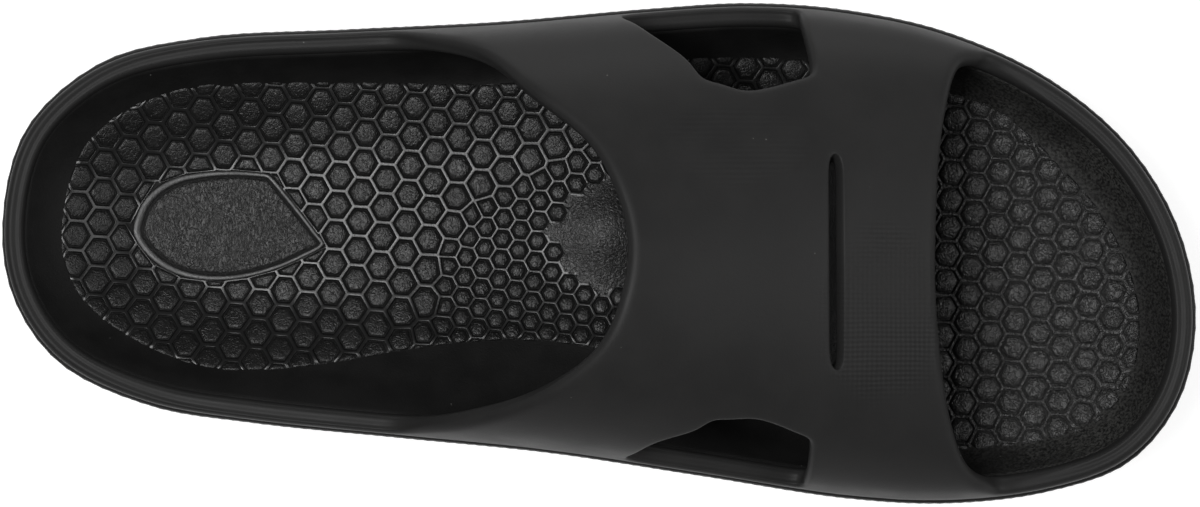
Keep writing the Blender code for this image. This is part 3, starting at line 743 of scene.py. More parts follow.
# honeycomb relief of the footbed: every cell is a ridge, a groove and a domed button
relief = {
    # two lattice steps for each field, in mm, and a place that a cell centre falls on; ridges fade from
    # an x over a way towards the toe
    "wideSteps": ((-0.51, -7.06), (5.94, 3.23)),
    "wideStart": (-51.1, 25.2),
    "smallSteps": ((-0.39, -4.85), (4.39, 2.16)),
    "smallStart": (-22.6, 13.2),
    "toeSteps": ((-0.39, -6.60), (6.06, 3.45)),
    "toeStart": (91.9, 23.0),
    "toeFrom": 60.0,
    "toeFade": (98.0, 26.0),
    # in mm: seeds outside the pattern, small seeds' room beside big ones, a cell's half side before it is
    # cut, neighbours that cut it, and cells that count as near the edge
    "fieldReach": 5.0,
    "smallRoom": 4.4,
    "cellSize": 6.5,
    "neighbourReach": 11.0,
    "edgeReach": 7.5,
    # room from a seed to its cell's sides in mm
    "wideReach": 3.53,
    "smallReach": 2.45,
    "patternSamples": 4,
    "padSamples": 6,
    "latticeTurns": 60,
    "neighbours": 21,
    # corners this far over a border are cut back, edges this short are dropped, and border points this
    # close are joined, in mm
    "cutTurns": 5,
    "cutDepth": 0.04,
    "leastEdge": 0.05,
    "mergeReach": 0.03,
    # cells smaller than this are dropped, and smaller than that have no button (square mm)
    "leastArea": 0.1,
    "solidArea": 3.2,
    "pointsPerEdge": 3,
    "bareReach": 13.2,
    # the pattern stops under the strap's slot: x and y bounds
    "plainBox": ((51.5, 62.0), (-33.0, 30.0)),
    # the net stands this far over the skin and sinks into it at the pattern's edge, ridges first (mm)
    "stand": 0.15,
    "sink": 0.55,
    "buttonFade": (0.0, 1.0),
    "ridgeFade": (0.2, 2.4),
    # seeds this near to the other lattice are evened out, in mm, and how many times
    "mixReach": 7.5,
    "mixTurns": 3,
    # the ridge's rows, the rows that fade at the edge, and the button's first row
    "ridgeRows": 4,
    "fadeRows": 5,
    "buttonFrom": 7,
    # the share of a button's height that is left without room, its deepest ring and its tip in mm
    "leastButton": 0.55,
    "deepest": 0.93,
    "tip": 0.01,
    # inset from the cell's border, height in mm, how round the ring is, and how polished it is; low polish
    # also paints shade into the groove
    "wideRings": (
        (0.0, 0.66, 0.0, 1.0), (0.30, 0.66, 0.0, 1.0), (0.40, 0.63, 0.0, 1.0), (0.52, 0.51, 0.0, 0.7),
        (0.63, 0.25, 0.08, 0.25), (0.72, -0.07, 0.12, 0.0), (0.77, -0.07, 0.14, 0.0),
        (0.88, 0.26, 0.18, 0.3), (1.16, 0.46, 0.26, 0.55), (1.80, 0.57, 0.36, 0.45)),
    "smallRings": (
        (0.0, 0.62, 0.0, 1.0), (0.22, 0.62, 0.0, 1.0), (0.31, 0.58, 0.0, 1.0), (0.40, 0.46, 0.0, 0.7),
        (0.49, 0.22, 0.10, 0.25), (0.57, -0.06, 0.18, 0.0), (0.62, -0.06, 0.20, 0.0),
        (0.74, 0.26, 0.28, 0.3), (0.96, 0.45, 0.38, 0.6), (1.45, 0.59, 0.50, 0.5)),
    "toeRings": (
        (0.0, 0.60, 0.0, 0.6), (0.18, 0.60, 0.0, 0.6), (0.28, 0.54, 0.0, 0.6), (0.38, 0.36, 0.02, 0.4),
        (0.47, 0.02, 0.05, 0.1), (0.55, -0.15, 0.08, 0.0), (0.66, -0.15, 0.10, 0.0),
        (0.82, 0.44, 0.16, 0.25), (1.10, 0.84, 0.24, 0.5), (1.90, 1.12, 0.38, 0.5)),
    "solidRings": ((0.0, 0.62, 0.0, 0.8), (0.4, 0.58, 0.1, 0.6)),
    "plainRings": ((0.0, 0.62, 0.0, 0.0), (1.0, 0.60, 0.1, 0.0), (2.0, 0.60, 0.2, 0.0)),
    "bareRings": ((0.0, 0.62, 0.0, 0.55), (1.0, 0.62, 0.1, 0.55), (2.0, 0.62, 0.2, 0.55)),
}

patternRows = (
    (-130.8, 6.8), (-127.2, 22.6), (-121.1, 31.0), (-109.0, 38.3), (-96.9, 41.5), (-84.8, 42.2),
    (-53.2, 42.2), (-19.3, 42.0), (0.1, 45.3), (17.1, 48.0), (48.6, 48.0), (68.0, 45.3),
    (86.2, 39.5), (97.1, 35.9), (109.2, 25.0), (121.4, 11.6), (128.6, -1.7), (131.8, -13.8),
    (131.1, -25.9), (127.4, -35.6), (118.9, -42.9), (109.2, -46.1), (97.1, -47.8), (88.6, -48.3),
    (68.0, -46.6), (43.8, -40.5), (19.5, -30.8), (0.1, -24.0), (-9.6, -22.3), (-24.1, -21.6),
    (-43.5, -23.5), (-60.5, -26.4), (-75.1, -28.4), (-89.6, -28.9), (-96.9, -27.9),
    (-111.4, -22.3), (-123.6, -13.8), (-129.6, -4.1),
)
smallFieldRows = (
    (-54.0, -25.0), (-48.4, -16.2), (-42.3, -11.4), (-41.1, -1.7), (-31.4, 9.2), (-21.7, 17.7),
    (-9.6, 25.0), (12.0, 33.0), (45.0, 30.0), (45.0, -45.0), (0.0, -30.0),
)
# the pad's two sharp corners are pairs of close points
padRows = (
    (-113.3, 5.0), (-112.4, 9.6), (-110.2, 13.6), (-106.4, 16.9), (-101.8, 18.9), (-96.0, 19.9),
    (-89.6, 20.2), (-84.0, 19.9), (-80.4, 19.4), (-79.3, 18.6), (-76.2, 14.9), (-72.4, 10.2),
    (-68.6, 5.2), (-66.7, 2.5), (-67.4, 1.3), (-71.5, -0.9), (-77.0, -3.4), (-83.0, -5.3),
    (-89.6, -6.5), (-96.0, -6.6), (-101.5, -5.6), (-106.5, -3.3), (-110.5, 0.2),
)


def borderOf(points):
    ends = np.roll(points, -1, axis=0)
    return points, ends - points


def nearestOn(border, spot):
    starts, steps = border
    share = ((spot - starts) * steps).sum(axis=1) / np.maximum((steps**2).sum(axis=1), 1e-9)
    near = starts + steps * np.clip(share, 0, 1)[:, None]
    return near[((near - spot) ** 2).sum(axis=1).argmin()]


def isWithin(points, spot):
    x, y = spot
    xs, ys = points[:, 0], points[:, 1]
    xe, ye = np.roll(xs, -1), np.roll(ys, -1)
    crossing = (ys > y) != (ye > y)
    with np.errstate(divide="ignore", invalid="ignore"):
        at = xs + (y - ys) * (xe - xs) / (ye - ys)
    return bool((crossing & (x < at)).sum() % 2)


def cutAway(polygon, spot, normal):
    # keeps the side of the polygon that lies against the normal
    result = []
    sides = [(corner - spot) @ normal for corner in polygon]
    for k in range(len(polygon)):
        other = (k + 1) % len(polygon)
        if sides[k] <= 0:
            result.append(polygon[k])
        if (sides[k] < 0) != (sides[other] < 0) and abs(sides[k] - sides[other]) > 1e-9:
            result.append(polygon[k] + (polygon[other] - polygon[k]) * sides[k] / (sides[k] - sides[other]))
    return result


def latticeSpots(start, steps, keep):
    first, second = np.array(steps)
    result = []
    turns = relief["latticeTurns"]
    for a in range(-turns, turns + 1):
        for b in range(-turns, turns + 1):
            spot = np.array(start) + first * a + second * b
            if abs(spot[0]) < half / mm and abs(spot[1]) < shoe["width"] / 2 / mm and keep(spot):
                result.append(spot)
    return result


def cellOutline(seeds, reach, k, patternArea, padArea):
    # the seed's own share of the field, cut back to the pattern's edge and round the pad
    seed = seeds[k]
    cell = [seed + np.array(corner) * relief["cellSize"] for corner in ((-1, -1), (1, -1), (1, 1), (-1, 1))]
    gaps = np.linalg.norm(seeds - seed, axis=1)
    for other in np.argsort(gaps)[1:relief["neighbours"] + 1]:
        gap = gaps[other]
        if gap > relief["neighbourReach"] or len(cell) < 3:
            break
        along = (seeds[other] - seed) / gap
        place = (gap**2 + reach[k] ** 2 - reach[other] ** 2) / (2 * gap)
        cell = cutAway(cell, seed + along * place, along)
    for attempt in range(relief["cutTurns"]):
        worst = relief["cutDepth"]
        cut = None
        for corner in cell:
            zones = [] if isWithin(patternArea[0], corner) else [patternArea[1]]
            if isWithin(padArea[0], corner):
                zones.append(padArea[1])
            for border in zones:
                near = nearestOn(border, corner)
                depth = np.linalg.norm(corner - near)
                if depth > worst:
                    worst = depth
                    cut = (near, (corner - near) / depth)
        if cut is None or len(cell) < 3:
            break
        cell = cutAway(cell, *cut)
    edges = [np.linalg.norm(corner - cell[k - 1]) for k, corner in enumerate(cell)]
    return np.array([corner for corner, edge in zip(cell, edges) if edge > relief["leastEdge"]])


def fieldSeeds(patternArea):
    smallField = np.array(smallFieldRows)

    def isNear(spot):
        away = np.linalg.norm(nearestOn(patternArea[1], spot) - spot)
        return isWithin(patternArea[0], spot) or away < relief["fieldReach"]

    def fieldSpots(name, keep):
        start, steps = relief[name + "Start"], relief[name + "Steps"]
        return latticeSpots(start, steps, lambda spot: keep(spot) and isNear(spot))

    wide = fieldSpots("wide", lambda spot: spot[0] < relief["toeFrom"] - 3 and not isWithin(smallField, spot))
    toe = fieldSpots("toe", lambda spot: spot[0] >= relief["toeFrom"])
    small = fieldSpots("small", lambda spot: isWithin(smallField, spot))
    big = np.array(wide + toe)
    small = [spot for spot in small if np.linalg.norm(big - spot, axis=1).min() > relief["smallRoom"]]
    kinds = ["wide"] * len(wide) + ["toe"] * len(toe) + ["small"] * len(small)
    return np.array(wide + toe + small), kinds


def areaAndCentre(cell):
    after = np.roll(cell, -1, axis=0)
    cross = cell[:, 0] * after[:, 1] - after[:, 0] * cell[:, 1]
    area = cross.sum() / 2
    return area, ((cell + after) * cross[:, None]).sum(axis=0) / (6 * area)


def planRelief():
    # every cell's kind and outline, once for all the pieces of the net
    pattern = closedCurve(patternRows, relief["patternSamples"])
    pad = closedCurve(padRows, relief["padSamples"])
    patternArea = (pattern, borderOf(pattern))
    padArea = (pad, borderOf(pad))
    seeds, kinds = fieldSeeds(patternArea)
    isSmall = np.array([kind == "small" for kind in kinds])
    reach = np.where(isSmall, relief["smallReach"], relief["wideReach"])
    mixed = [k for k in range(len(seeds)) if kinds[k] != "toe"
             and np.linalg.norm(seeds[isSmall != isSmall[k]] - seeds[k], axis=1).min() < relief["mixReach"]]
    for turn in range(relief["mixTurns"]):
        moved = seeds.copy()
        for k in mixed:
            cell = cellOutline(seeds, reach, k, patternArea, padArea)
            if len(cell) >= 3 and isWithin(pattern, seeds[k]):
                moved[k] = areaAndCentre(cell)[1]
        seeds = moved
    cells = []
    for k, seed in enumerate(seeds):
        cell = cellOutline(seeds, reach, k, patternArea, padArea)
        if len(cell) >= 3 and areaAndCentre(cell)[0] >= relief["leastArea"]:
            cells.append((kinds[k], seed, cell))
    return cells, patternArea[1]


reliefPlan = planRelief()


def reliefLoop(mesh, points, lifts, shineAndShade):
    # a loop of points that stand over the bed, with how polished they are, where low polish also paints shade
    # into grooves; points and lifts in mm
    heights = bedHeights(points[:, 0] * mm, points[:, 1] * mm) + (lifts + relief["stand"]) * mm
    loop = [mesh.verts.new((a * mm, b * mm, c)) for (a, b), c in zip(points, heights)]
    polishAndShade = mesh.verts.layers.float["polishAndShade"]
    for vert in loop:
        vert[polishAndShade] = shineAndShade
    return loop


def closeRelief(mesh, loops, centre, lift, shineAndShade):
    # the surface through the loops and on to a point in the middle
    top = reliefLoop(mesh, np.array([centre]), lift, shineAndShade)[0]
    joinLoops(mesh, loops)
    last = loops[-1]
    for k in range(len(last)):
        mesh.faces.new((last[k], last[(k + 1) % len(last)], top))


def buildRelief(name, fields):
    cells, border = reliefPlan
    domeSpot = np.array((dome["x"], dome["y"])) / mm

    def sinking(points, bounds):
        # 1 well inside the pattern, 0 at its edge
        gaps = np.array([np.linalg.norm(nearestOn(border, spot) - spot) for spot in points])
        share = np.clip((gaps - bounds[0]) / (bounds[1] - bounds[0]), 0, 1)
        return share * share * (3 - 2 * share)

    def settled(points, lifts):
        # sinks what lies at the pattern's edge
        shown = sinking(points, relief["buttonFade"])
        return lifts * shown - (relief["sink"] + relief["stand"]) * (1 - shown)

    mesh = bmesh.new()
    mesh.verts.layers.float.new("polishAndShade")
    borderVerts = []
    for kind, seed, cell in cells:
        if kind not in fields:
            continue
        after = np.roll(cell, -1, axis=0)
        area, centre = areaAndCentre(cell)
        sides = after - cell
        normals = np.column_stack([sides[:, 1], -sides[:, 0]]) / np.linalg.norm(sides, axis=1)[:, None]
        roomy = ((cell - centre) * normals).sum(axis=1).min()
        steps = np.arange(relief["pointsPerEdge"]) / relief["pointsPerEdge"]
        ring = (cell[:, None] + sides[:, None] * steps[None, :, None]).reshape(-1, 2) - centre
        radii = np.linalg.norm(ring, axis=1)
        fit = min(1, roomy / relief["smallReach" if kind == "small" else "wideReach"])
        height = relief["leastButton"] + (1 - relief["leastButton"]) * fit
        isBare = np.linalg.norm(seed - domeSpot) < relief["bareReach"]
        isPlain = all(low < place < high for place, (low, high) in zip(seed, relief["plainBox"]))
        isSolid = area < relief["solidArea"]
        shape = "plain" if isPlain else "bare" if isBare else "solid" if isSolid else kind
        rows = relief[shape + "Rings"]
        fadeFrom, fadeOver = relief["toeFade"]
        ridge = 1 - min(max((seed[0] - fadeFrom) / fadeOver, 0), 1)
        atEdge = np.linalg.norm(nearestOn(border, centre) - centre) < relief["edgeReach"]
        loops = []
        for number, (inset, lift, roundness, shineAndShade) in enumerate(rows):
            share = 1 - min(inset * fit / roomy, relief["deepest"])
            target = radii * share * (1 - roundness) + roomy * share * roundness
            points = centre + ring / radii[:, None] * target[:, None]
            if kind == "toe" and number < relief["ridgeRows"]:
                lift = lift * ridge
            if number >= relief["buttonFrom"]:
                lift = lift * height
            lifts = np.full(len(points), lift)
            if atEdge and number < relief["fadeRows"] and not isBare:
                lifts = lifts * sinking(points, relief["ridgeFade"])
            loops.append(reliefLoop(mesh, points, settled(points, lifts) if atEdge else lifts, shineAndShade))
        borderVerts += loops[0]
        lift = rows[-1][1] * (1 if isBare or isSolid else height) + relief["tip"]
        if atEdge:
            lift = settled([centre], lift)[0]
        closeRelief(mesh, loops, centre, lift, rows[-1][3])
    # neighbours share their border points
    bmesh.ops.remove_doubles(mesh, verts=borderVerts, dist=relief["mergeReach"] * mm)
    return newPiece(name, mesh, "insole")


honeycomb = buildRelief("honeycomb", ("wide", "small"))
toeStuds = buildRelief("toe_studs", ("toe",))
print("honeycomb:", len(honeycomb.data.polygons), "and", len(toeStuds.data.polygons), "faces")

# drop-shaped heel pad: a raised rim, a groove inside it and a wrinkled field
heelPad = {
    # inset from the pad's edge, height in mm and how polished the ring is; low polish also paints shade into
    # the groove
    "rings": ((0.0, -0.30, 1.0), (0.0, 0.60, 1.0), (0.12, 0.80, 1.0), (0.26, 0.90, 1.0), (0.65, 0.93, 1.0),
              (1.06, 0.91, 1.0), (1.18, 0.84, 1.0), (1.27, 0.62, 0.8), (1.34, 0.16, 0.2), (1.40, -0.13, 0.0),
              (1.74, -0.14, 0.0), (1.84, 0.10, 0.2), (2.00, 0.26, 0.45), (2.3, 0.33, 0.5), (4.0, 0.37, 0.5),
              (6.0, 0.39, 0.5), (8.5, 0.39, 0.5)),
    "samples": 8,
    # how near to the centre a ring may come, and the steps of its search
    "deepest": 0.97,
    "searchTurns": 18,
    "heelFrom": -88.0,
    "heelReach": 24.0,
    "heelWider": 0.45,
    "tipNarrower": 0.12,
}


def buildHeelPad():
    curve = closedCurve(padRows, heelPad["samples"])
    border = borderOf(curve)
    centre = curve.mean(axis=0)
    heelward = np.clip((heelPad["heelFrom"] - curve[:, 0]) / heelPad["heelReach"], -1, 1)
    widths = 1 + heelPad["heelWider"] * np.maximum(heelward, 0)
    widths += heelPad["tipNarrower"] * np.minimum(heelward, 0)

    def insetSpot(start, inset):
        # the place on the way to the centre that lies this far from the edge
        low, high = 0.0, heelPad["deepest"]
        for attempt in range(heelPad["searchTurns"]):
            share = (low + high) / 2
            spot = start + (centre - start) * share
            if np.linalg.norm(nearestOn(border, spot) - spot) < inset:
                low = share
            else:
                high = share
        return start + (centre - start) * low

    mesh = bmesh.new()
    mesh.verts.layers.float.new("polishAndShade")
    loops = []
    for inset, lift, shineAndShade in heelPad["rings"]:
        points = curve
        if inset > 0:
            points = np.array([insetSpot(start, inset * width) for start, width in zip(curve, widths)])
        loops.append(reliefLoop(mesh, points, lift, shineAndShade))
    closeRelief(mesh, loops, centre, lift, shineAndShade)
    return newPiece("heel_pad", mesh, "insole")


heelPadPiece = buildHeelPad()
print("heel pad made")


# finishes: effects shared by the materials are node groups with named sockets
def grey(level, warm=0.0):
    return (level * (1 + warm), level, level * (1 - warm), 1)


def newGroup(name, inputs, outputs):
    # named sockets: greys are colours, the rest are numbers
    group = bpy.data.node_groups.new(name, "ShaderNodeTree")
    for label, value in inputs.items():
        kind = "NodeSocketColor" if isinstance(value, tuple) else "NodeSocketFloat"
        group.interface.new_socket(name=label, in_out="INPUT", socket_type=kind).default_value = value
    for label in outputs:
        kind = "NodeSocketColor" if label == "Colour" else "NodeSocketFloat"
        group.interface.new_socket(name=label, in_out="OUTPUT", socket_type=kind)
    return group, group.nodes.new("NodeGroupInput").outputs, group.nodes.new("NodeGroupOutput").inputs


def plug(tree, value, socket):
    if isinstance(value, bpy.types.NodeSocket):
        tree.links.new(value, socket)
    else:
        socket.default_value = value


def calc(tree, operation, first, second=0.5, third=0.5):
    node = tree.nodes.new("ShaderNodeMath")
    node.operation = operation
    for value, socket in zip((first, second, third), node.inputs):
        plug(tree, value, socket)
    return node.outputs[0]


def noise(tree, place, scale, detail=3.0, rough=0.55, warp=0.0):
    node = tree.nodes.new("ShaderNodeTexNoise")
    plug(tree, place, node.inputs["Vector"])
    plug(tree, scale, node.inputs["Scale"])
    node.inputs["Detail"].default_value = detail
    node.inputs["Roughness"].default_value = rough
    node.inputs["Distortion"].default_value = warp
    return node.outputs["Fac"]


def smoothMask(tree, value, low, high):
    node = tree.nodes.new("ShaderNodeMapRange")
    node.interpolation_type = "SMOOTHSTEP"
    plug(tree, value, node.inputs["Value"])
    plug(tree, low, node.inputs["From Min"])
    plug(tree, high, node.inputs["From Max"])
    return node.outputs["Result"]


def blendColour(tree, mask, dark, light):
    node = tree.nodes.new("ShaderNodeMix")
    node.data_type = "RGBA"
    plug(tree, mask, node.inputs[0])
    plug(tree, dark, node.inputs[6])
    plug(tree, light, node.inputs[7])
    return node.outputs[2]


def objectPlace(tree):
    return tree.nodes.new("ShaderNodeTexCoord").outputs["Object"]


def placeAxes(tree):
    split = tree.nodes.new("ShaderNodeSeparateXYZ")
    plug(tree, objectPlace(tree), split.inputs[0])
    return tuple(split.outputs)


def scaleFor(tree, size):
    # texture scale for features of this size in mm
    return calc(tree, "DIVIDE", 1000, size)


def buildFoamFinish():
    # moulded foam: mottled tone, uneven gloss and fine pores
    tree, given, put = newGroup(
        "foamFinish",
        {"Dark Tone": grey(0.005), "Light Tone": grey(0.01), "Smooth": 0.4, "Rough": 0.55,
         "Patch Size": 12.0, "Grain Size": 0.5, "Grain Depth": 0.5},
        ("Colour", "Roughness", "Height"))
    place = objectPlace(tree)
    patches = noise(tree, place, scaleFor(tree, given["Patch Size"]), 4, 0.6)
    grainScale = scaleFor(tree, given["Grain Size"])
    grain = noise(tree, place, grainScale, 3, 0.6)
    pores = tree.nodes.new("ShaderNodeTexVoronoi")
    plug(tree, place, pores.inputs["Vector"])
    plug(tree, calc(tree, "MULTIPLY", grainScale, 0.6), pores.inputs["Scale"])
    poreMask = smoothMask(tree, pores.outputs["Distance"], 0.0, 0.45)
    spread = smoothMask(tree, patches, 0.3, 0.7)
    tone = calc(tree, "MULTIPLY_ADD", grain, 0.5, calc(tree, "MULTIPLY", spread, 0.5))
    plug(tree, blendColour(tree, tone, given["Dark Tone"], given["Light Tone"]), put["Colour"])
    gloss = calc(tree, "MULTIPLY_ADD", grain, 0.35, calc(tree, "MULTIPLY", spread, 0.65))
    glossSpan = calc(tree, "SUBTRACT", given["Rough"], given["Smooth"])
    plug(tree, calc(tree, "MULTIPLY_ADD", gloss, glossSpan, given["Smooth"]), put["Roughness"])
    height = calc(tree, "MULTIPLY_ADD", poreMask, 0.5, grain)
    plug(tree, calc(tree, "MULTIPLY", height, given["Grain Depth"]), put["Height"])
    return tree


def buildWrinkle():
    # leather-like creases that wander across the toe-heel line
    tree, given, put = newGroup("leatherWrinkle", {"Size": 1.0, "Stretch": 1.6, "Depth": 1.0}, ("Height",))
    x, y, z = placeAxes(tree)
    join = tree.nodes.new("ShaderNodeCombineXYZ")
    for value, socket in zip((x, calc(tree, "DIVIDE", y, given["Stretch"]), z), join.inputs):
        plug(tree, value, socket)
    scale = scaleFor(tree, given["Size"])
    field = noise(tree, join.outputs[0], scale, 2, 0.5, 0.9)
    away = calc(tree, "ABSOLUTE", calc(tree, "MULTIPLY_ADD", field, 2, -1))
    ridges = calc(tree, "SUBTRACT", 1, smoothMask(tree, away, 0.0, 0.34))
    fine = noise(tree, join.outputs[0], calc(tree, "MULTIPLY", scale, 2.4), 2, 0.5)
    height = calc(tree, "MULTIPLY_ADD", fine, 0.6, ridges)
    plug(tree, calc(tree, "MULTIPLY", height, given["Depth"]), put["Height"])
    return tree


def buildMouldLines():
    # faint ribs and a faint mesh left by the mould inside an oval patch
    tree, given, put = newGroup(
        "mouldLines",
        {"Centre X": 0.0, "Centre Y": 0.0, "Long": 0.02, "Wide": 0.02, "Step X": 1.2, "Step Y": 1.2,
         "Depth": 1.0},
        ("Height",))
    place = objectPlace(tree)
    x, y, z = placeAxes(tree)
    away = []
    for axis, centre, reach in ((x, "Centre X", "Long"), (y, "Centre Y", "Wide")):
        share = calc(tree, "DIVIDE", calc(tree, "SUBTRACT", axis, given[centre]), given[reach])
        away.append(calc(tree, "POWER", calc(tree, "ABSOLUTE", share), 2))
    distance = calc(tree, "ADD", *away)
    ragged = calc(tree, "MULTIPLY_ADD", noise(tree, place, 90), 0.9, distance)
    patch = calc(tree, "SUBTRACT", 1, smoothMask(tree, ragged, 0.75, 1.45))
    waves = []
    for axis, step in ((x, "Step X"), (y, "Step Y")):
        turns = calc(tree, "DIVIDE", calc(tree, "MULTIPLY", axis, 6283), given[step])
        bend = calc(tree, "MULTIPLY", noise(tree, place, 60), 5)
        waves.append(calc(tree, "SINE", calc(tree, "ADD", turns, bend)))
    lines = calc(tree, "ADD", *waves)
    plug(tree, calc(tree, "MULTIPLY", calc(tree, "MULTIPLY", lines, patch), given["Depth"]), put["Height"])
    return tree


def buildDust():
    # sparse pale specks and a thin film in cloudy patches
    tree, given, put = newGroup(
        "dust",
        {"Base": grey(0.01), "Dust Tone": (0.2, 0.2, 0.19, 1), "Speck Spacing": 3.0, "Speck Size": 0.05,
         "Film": 0.02},
        ("Colour",))
    place = objectPlace(tree)
    cells = tree.nodes.new("ShaderNodeTexVoronoi")
    plug(tree, place, cells.inputs["Vector"])
    plug(tree, scaleFor(tree, given["Speck Spacing"]), cells.inputs["Scale"])
    near = calc(tree, "LESS_THAN", cells.outputs["Distance"], given["Speck Size"])
    chosen = calc(tree, "GREATER_THAN", noise(tree, place, 160), 0.62)
    specks = calc(tree, "MULTIPLY", near, chosen)
    cloud = calc(tree, "MULTIPLY_ADD", smoothMask(tree, noise(tree, place, 55, 5), 0.4, 0.75), 0.6, 0.4)
    cloud = calc(tree, "MULTIPLY", cloud, smoothMask(tree, noise(tree, place, 1500, 2), 0.3, 0.7))
    film = calc(tree, "MULTIPLY", cloud, given["Film"])
    mask = calc(tree, "MAXIMUM", calc(tree, "MULTIPLY", specks, 0.5), film)
    plug(tree, blendColour(tree, mask, given["Base"], given["Dust Tone"]), put["Colour"])
    return tree


foamFinish = buildFoamFinish()
leatherWrinkle = buildWrinkle()
mouldLines = buildMouldLines()
dust = buildDust()


def placeGroup(tree, group, values):
    node = tree.nodes.new("ShaderNodeGroup")
    node.node_tree = group
    for label, value in values.items():
        plug(tree, value, node.inputs[label])
    return node.outputs


# tones from dark to light, roughness from smooth to rough, patch and grain sizes in mm, bump in metres
finishColumns = ("dark", "light", "smooth", "rough", "patch", "grain", "depth", "bump", "specular", "film",
                 "toeLighten")
finishRows = {
    "strapFoam": (0.0125, 0.0160, 0.42, 0.52, 14.0, 0.45, 0.35, 0.00005, 0.09, 0.006, 0),
    "wallFoam": (0.0090, 0.0130, 0.44, 0.57, 9.0, 0.5, 0.5, 0.00006, 0.20, 0.012, 0),
    "bedFoam": (0.0035, 0.0070, 0.48, 0.62, 8.0, 0.42, 0.9, 0.00007, 0.10, 0.008, 0.19),
    "reliefFoam": (0.0030, 0.0080, 0.33, 0.45, 6.0, 0.40, 0.9, 0.00010, 0.33, 0.008, 0),
    "studFoam": (0.0100, 0.0210, 0.36, 0.48, 6.0, 0.40, 0.9, 0.00015, 0.45, 0.012, 0),
    "padFoam": (0.0060, 0.0130, 0.40, 0.54, 7.0, 0.40, 0.5, 0.00017, 0.42, 0.010, 0),
    "soleRubber": (0.0080, 0.0140, 0.50, 0.70, 10.0, 0.6, 0.8, 0.00009, 0.25, 0.030, 0),
}
finishes = {name: dict(zip(finishColumns, row)) for name, row in finishRows.items()}


def newMaterial(name):
    material = bpy.data.materials.new(name)
    material.use_nodes = True
    return material, material.node_tree, material.node_tree.nodes["Principled BSDF"].inputs


def startMaterial(name):
    # foam finish with dust over it; returns the tree, the shader and the sockets to carry on from
    look = finishes[name]
    material, tree, shader = newMaterial(name)
    shader["Specular IOR Level"].default_value = look["specular"]
    foam = placeGroup(tree, foamFinish, {
        "Dark Tone": grey(look["dark"]), "Light Tone": grey(look["light"], 0.01),
        "Smooth": look["smooth"], "Rough": look["rough"], "Patch Size": look["patch"],
        "Grain Size": look["grain"], "Grain Depth": look["depth"]})
    film = look["film"]
    if look["toeLighten"]:
        # the surface is made lighter towards the toe: the pale film grows stronger there
        toeMask = smoothMask(tree, placeAxes(tree)[0], 0.05, 0.12)
        film = calc(tree, "MULTIPLY_ADD", toeMask, look["toeLighten"], film)
    dusted = placeGroup(tree, dust, {"Base": foam["Colour"], "Film": film})
    return material, tree, shader, foam, dusted["Colour"]


def endMaterial(tree, shader, look, colour, roughness, height):
    plug(tree, colour, shader["Base Color"])
    plug(tree, roughness, shader["Roughness"])
    bump = tree.nodes.new("ShaderNodeBump")
    bump.inputs["Strength"].default_value = 1
    bump.inputs["Distance"].default_value = look["bump"]
    plug(tree, height, bump.inputs["Height"])
    plug(tree, bump.outputs["Normal"], shader["Normal"])


def plainFinish(name):
    material, tree, shader, foam, dusted = startMaterial(name)
    endMaterial(tree, shader, finishes[name], dusted, foam["Roughness"], foam["Height"])
    return material


def strapFinish():
    material, tree, shader, foam, dusted = startMaterial("strapFoam")
    height = foam["Height"]
    patches = (
        {"Centre X": 0.033, "Centre Y": 0.026, "Long": 0.020, "Wide": 0.011, "Step X": 90.0, "Step Y": 1.25,
         "Depth": 0.50},
        {"Centre X": 0.068, "Centre Y": -0.014, "Long": 0.017, "Wide": 0.026, "Step X": 1.15, "Step Y": 1.15,
         "Depth": 0.50},
    )
    for patch in patches:
        height = calc(tree, "ADD", height, placeGroup(tree, mouldLines, patch)["Height"])
    endMaterial(tree, shader, finishes["strapFoam"], dusted, foam["Roughness"], height)
    return material


def polishedAndShadedFinish(name, wrinkle, grooveShade, crest):
    # grooves stay dull and get painted shade, a darker grey, crests are rubbed smooth, the fields between are
    # wrinkled
    material, tree, shader, foam, dusted = startMaterial(name)
    attribute = tree.nodes.new("ShaderNodeAttribute")
    attribute.attribute_name = "polishAndShade"
    polishAndShade = attribute.outputs["Fac"]
    creases = placeGroup(tree, leatherWrinkle, wrinkle)
    crestMask = smoothMask(tree, polishAndShade, 0.60, 0.95)
    shadedDullGrooveMask = calc(tree, "SUBTRACT", 1, smoothMask(tree, polishAndShade, 0.02, 0.30))
    # painted shade: the grooves take a darker grey than the foam around them
    colour = blendColour(tree, shadedDullGrooveMask, dusted, grey(grooveShade))
    colour = blendColour(tree, crestMask, colour, grey(crest))
    roughness = calc(tree, "MULTIPLY_ADD", shadedDullGrooveMask, 0.40, foam["Roughness"])
    roughness = calc(tree, "MULTIPLY_ADD", crestMask, -0.05, roughness)
    quiet = calc(tree, "SUBTRACT", 1, calc(tree, "MULTIPLY", crestMask, 0.9))
    height = calc(tree, "MULTIPLY", calc(tree, "ADD", creases["Height"], foam["Height"]), quiet)
    endMaterial(tree, shader, finishes[name], colour, roughness, height)
    return material


strapAndRim.data.materials.append(strapFinish())
sideWallPiece.data.materials.append(plainFinish("wallFoam"))
footbed.data.materials.append(plainFinish("bedFoam"))
treadPiece.data.materials.append(plainFinish("soleRubber"))
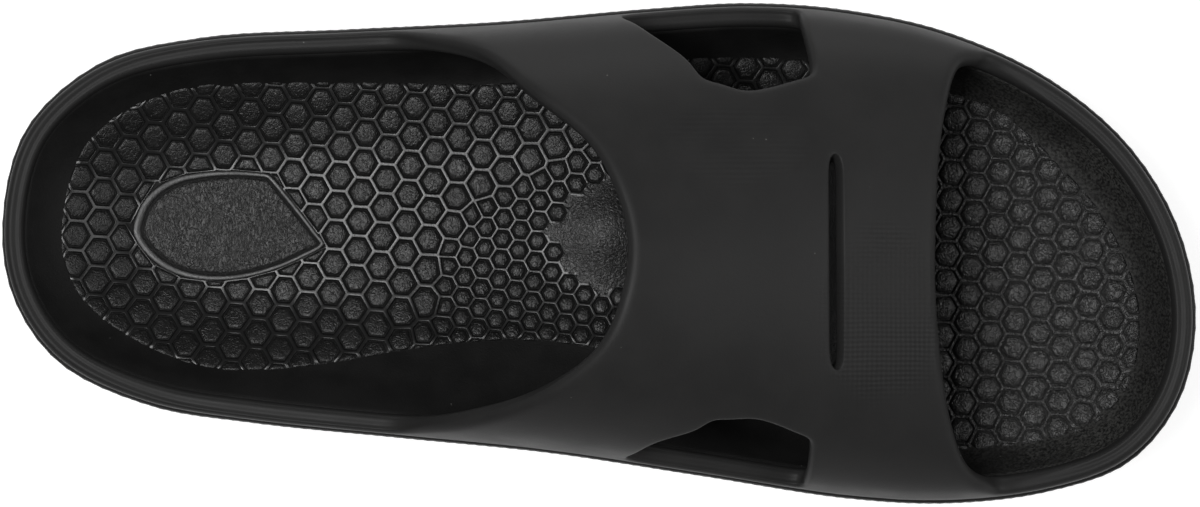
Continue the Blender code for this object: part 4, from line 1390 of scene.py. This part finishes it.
# the last two numbers are the painted shade in the grooves and the crest's tone
honeycomb.data.materials.append(polishedAndShadedFinish(
    "reliefFoam", {"Size": 1.0, "Stretch": 1.3, "Depth": 0.7}, 0.0035, 0.0065))
toeStuds.data.materials.append(polishedAndShadedFinish(
    "studFoam", {"Size": 1.35, "Stretch": 1.2, "Depth": 1.5}, 0.0045, 0.012))
heelPadPiece.data.materials.append(polishedAndShadedFinish(
    "padFoam", {"Size": 0.8, "Stretch": 2.2, "Depth": 1.0}, 0.0030, 0.010))
print("finishes made")

# floor, lights and camera
view = {"frameWidth": 0.2912, "distance": 2.4, "look": (0.0002, 0.0, 0.03), "sensor": 36, "world": 0.10}
# grey levels; the floor glows, and the shoe gets less of that light than the camera sees
floorLook = {"size": 3, "base": 0.36, "rough": 0.9, "glow": 0.80, "given": 0.62, "seen": 1.0}
# place, target, size and power
lights = {
    "overhead": ((-0.40, 0.02, 1.46), (0, 0, 0), (0.56, 0.56), 22),
    "sideLateral": ((0.0, 1.35, 0.09), (0, 0, 0.05), (1.8, 0.17), 8),
    "sideMedial": ((0.0, -1.35, 0.09), (0, 0, 0.05), (1.8, 0.17), 1.5),
    "toeSide": ((1.0, 0.0, 0.80), (0.05, 0, 0), (0.7, 0.7), 7),
}

floorMesh = bmesh.new()
bmesh.ops.create_grid(floorMesh, x_segments=1, y_segments=1, size=floorLook["size"])
floor = meshObject("floor", floorMesh)
floorFinish, floorTree, floorShader = newMaterial("paleFloor")
floorShader["Base Color"].default_value = grey(floorLook["base"])
floorShader["Roughness"].default_value = floorLook["rough"]
isSeen = floorTree.nodes.new("ShaderNodeLightPath").outputs["Is Camera Ray"]
floorTone = blendColour(floorTree, isSeen, grey(floorLook["given"]), grey(floorLook["seen"]))
plug(floorTree, floorTone, floorShader["Emission Color"])
floorShader["Emission Strength"].default_value = floorLook["glow"]
floor.data.materials.append(floorFinish)

for name, (place, target, size, power) in lights.items():
    lightData = bpy.data.lights.new(name, "AREA")
    lightData.shape = "RECTANGLE"
    lightData.size, lightData.size_y = size
    lightData.energy = power
    light = newObject(name, lightData)
    light.location = place
    light.rotation_euler = (Vector(target) - Vector(place)).to_track_quat("-Z", "Y").to_euler()

cameraData = bpy.data.cameras.new("camera")
cameraData.sensor_fit = "HORIZONTAL"
cameraData.sensor_width = view["sensor"]
cameraData.lens = view["sensor"] * view["distance"] / view["frameWidth"]
camera = newObject("camera", cameraData)
camera.location = Vector(view["look"]) + Vector((0, 0, view["distance"]))
bpy.context.scene.camera = camera
bpy.context.scene.view_settings.view_transform = "Standard"

world = bpy.data.worlds.new("studio")
world.use_nodes = True
sky = world.node_tree.nodes["Background"].inputs
sky["Color"].default_value = grey(1)
sky["Strength"].default_value = view["world"]
bpy.context.scene.world = world
print("floor, lights and camera made")
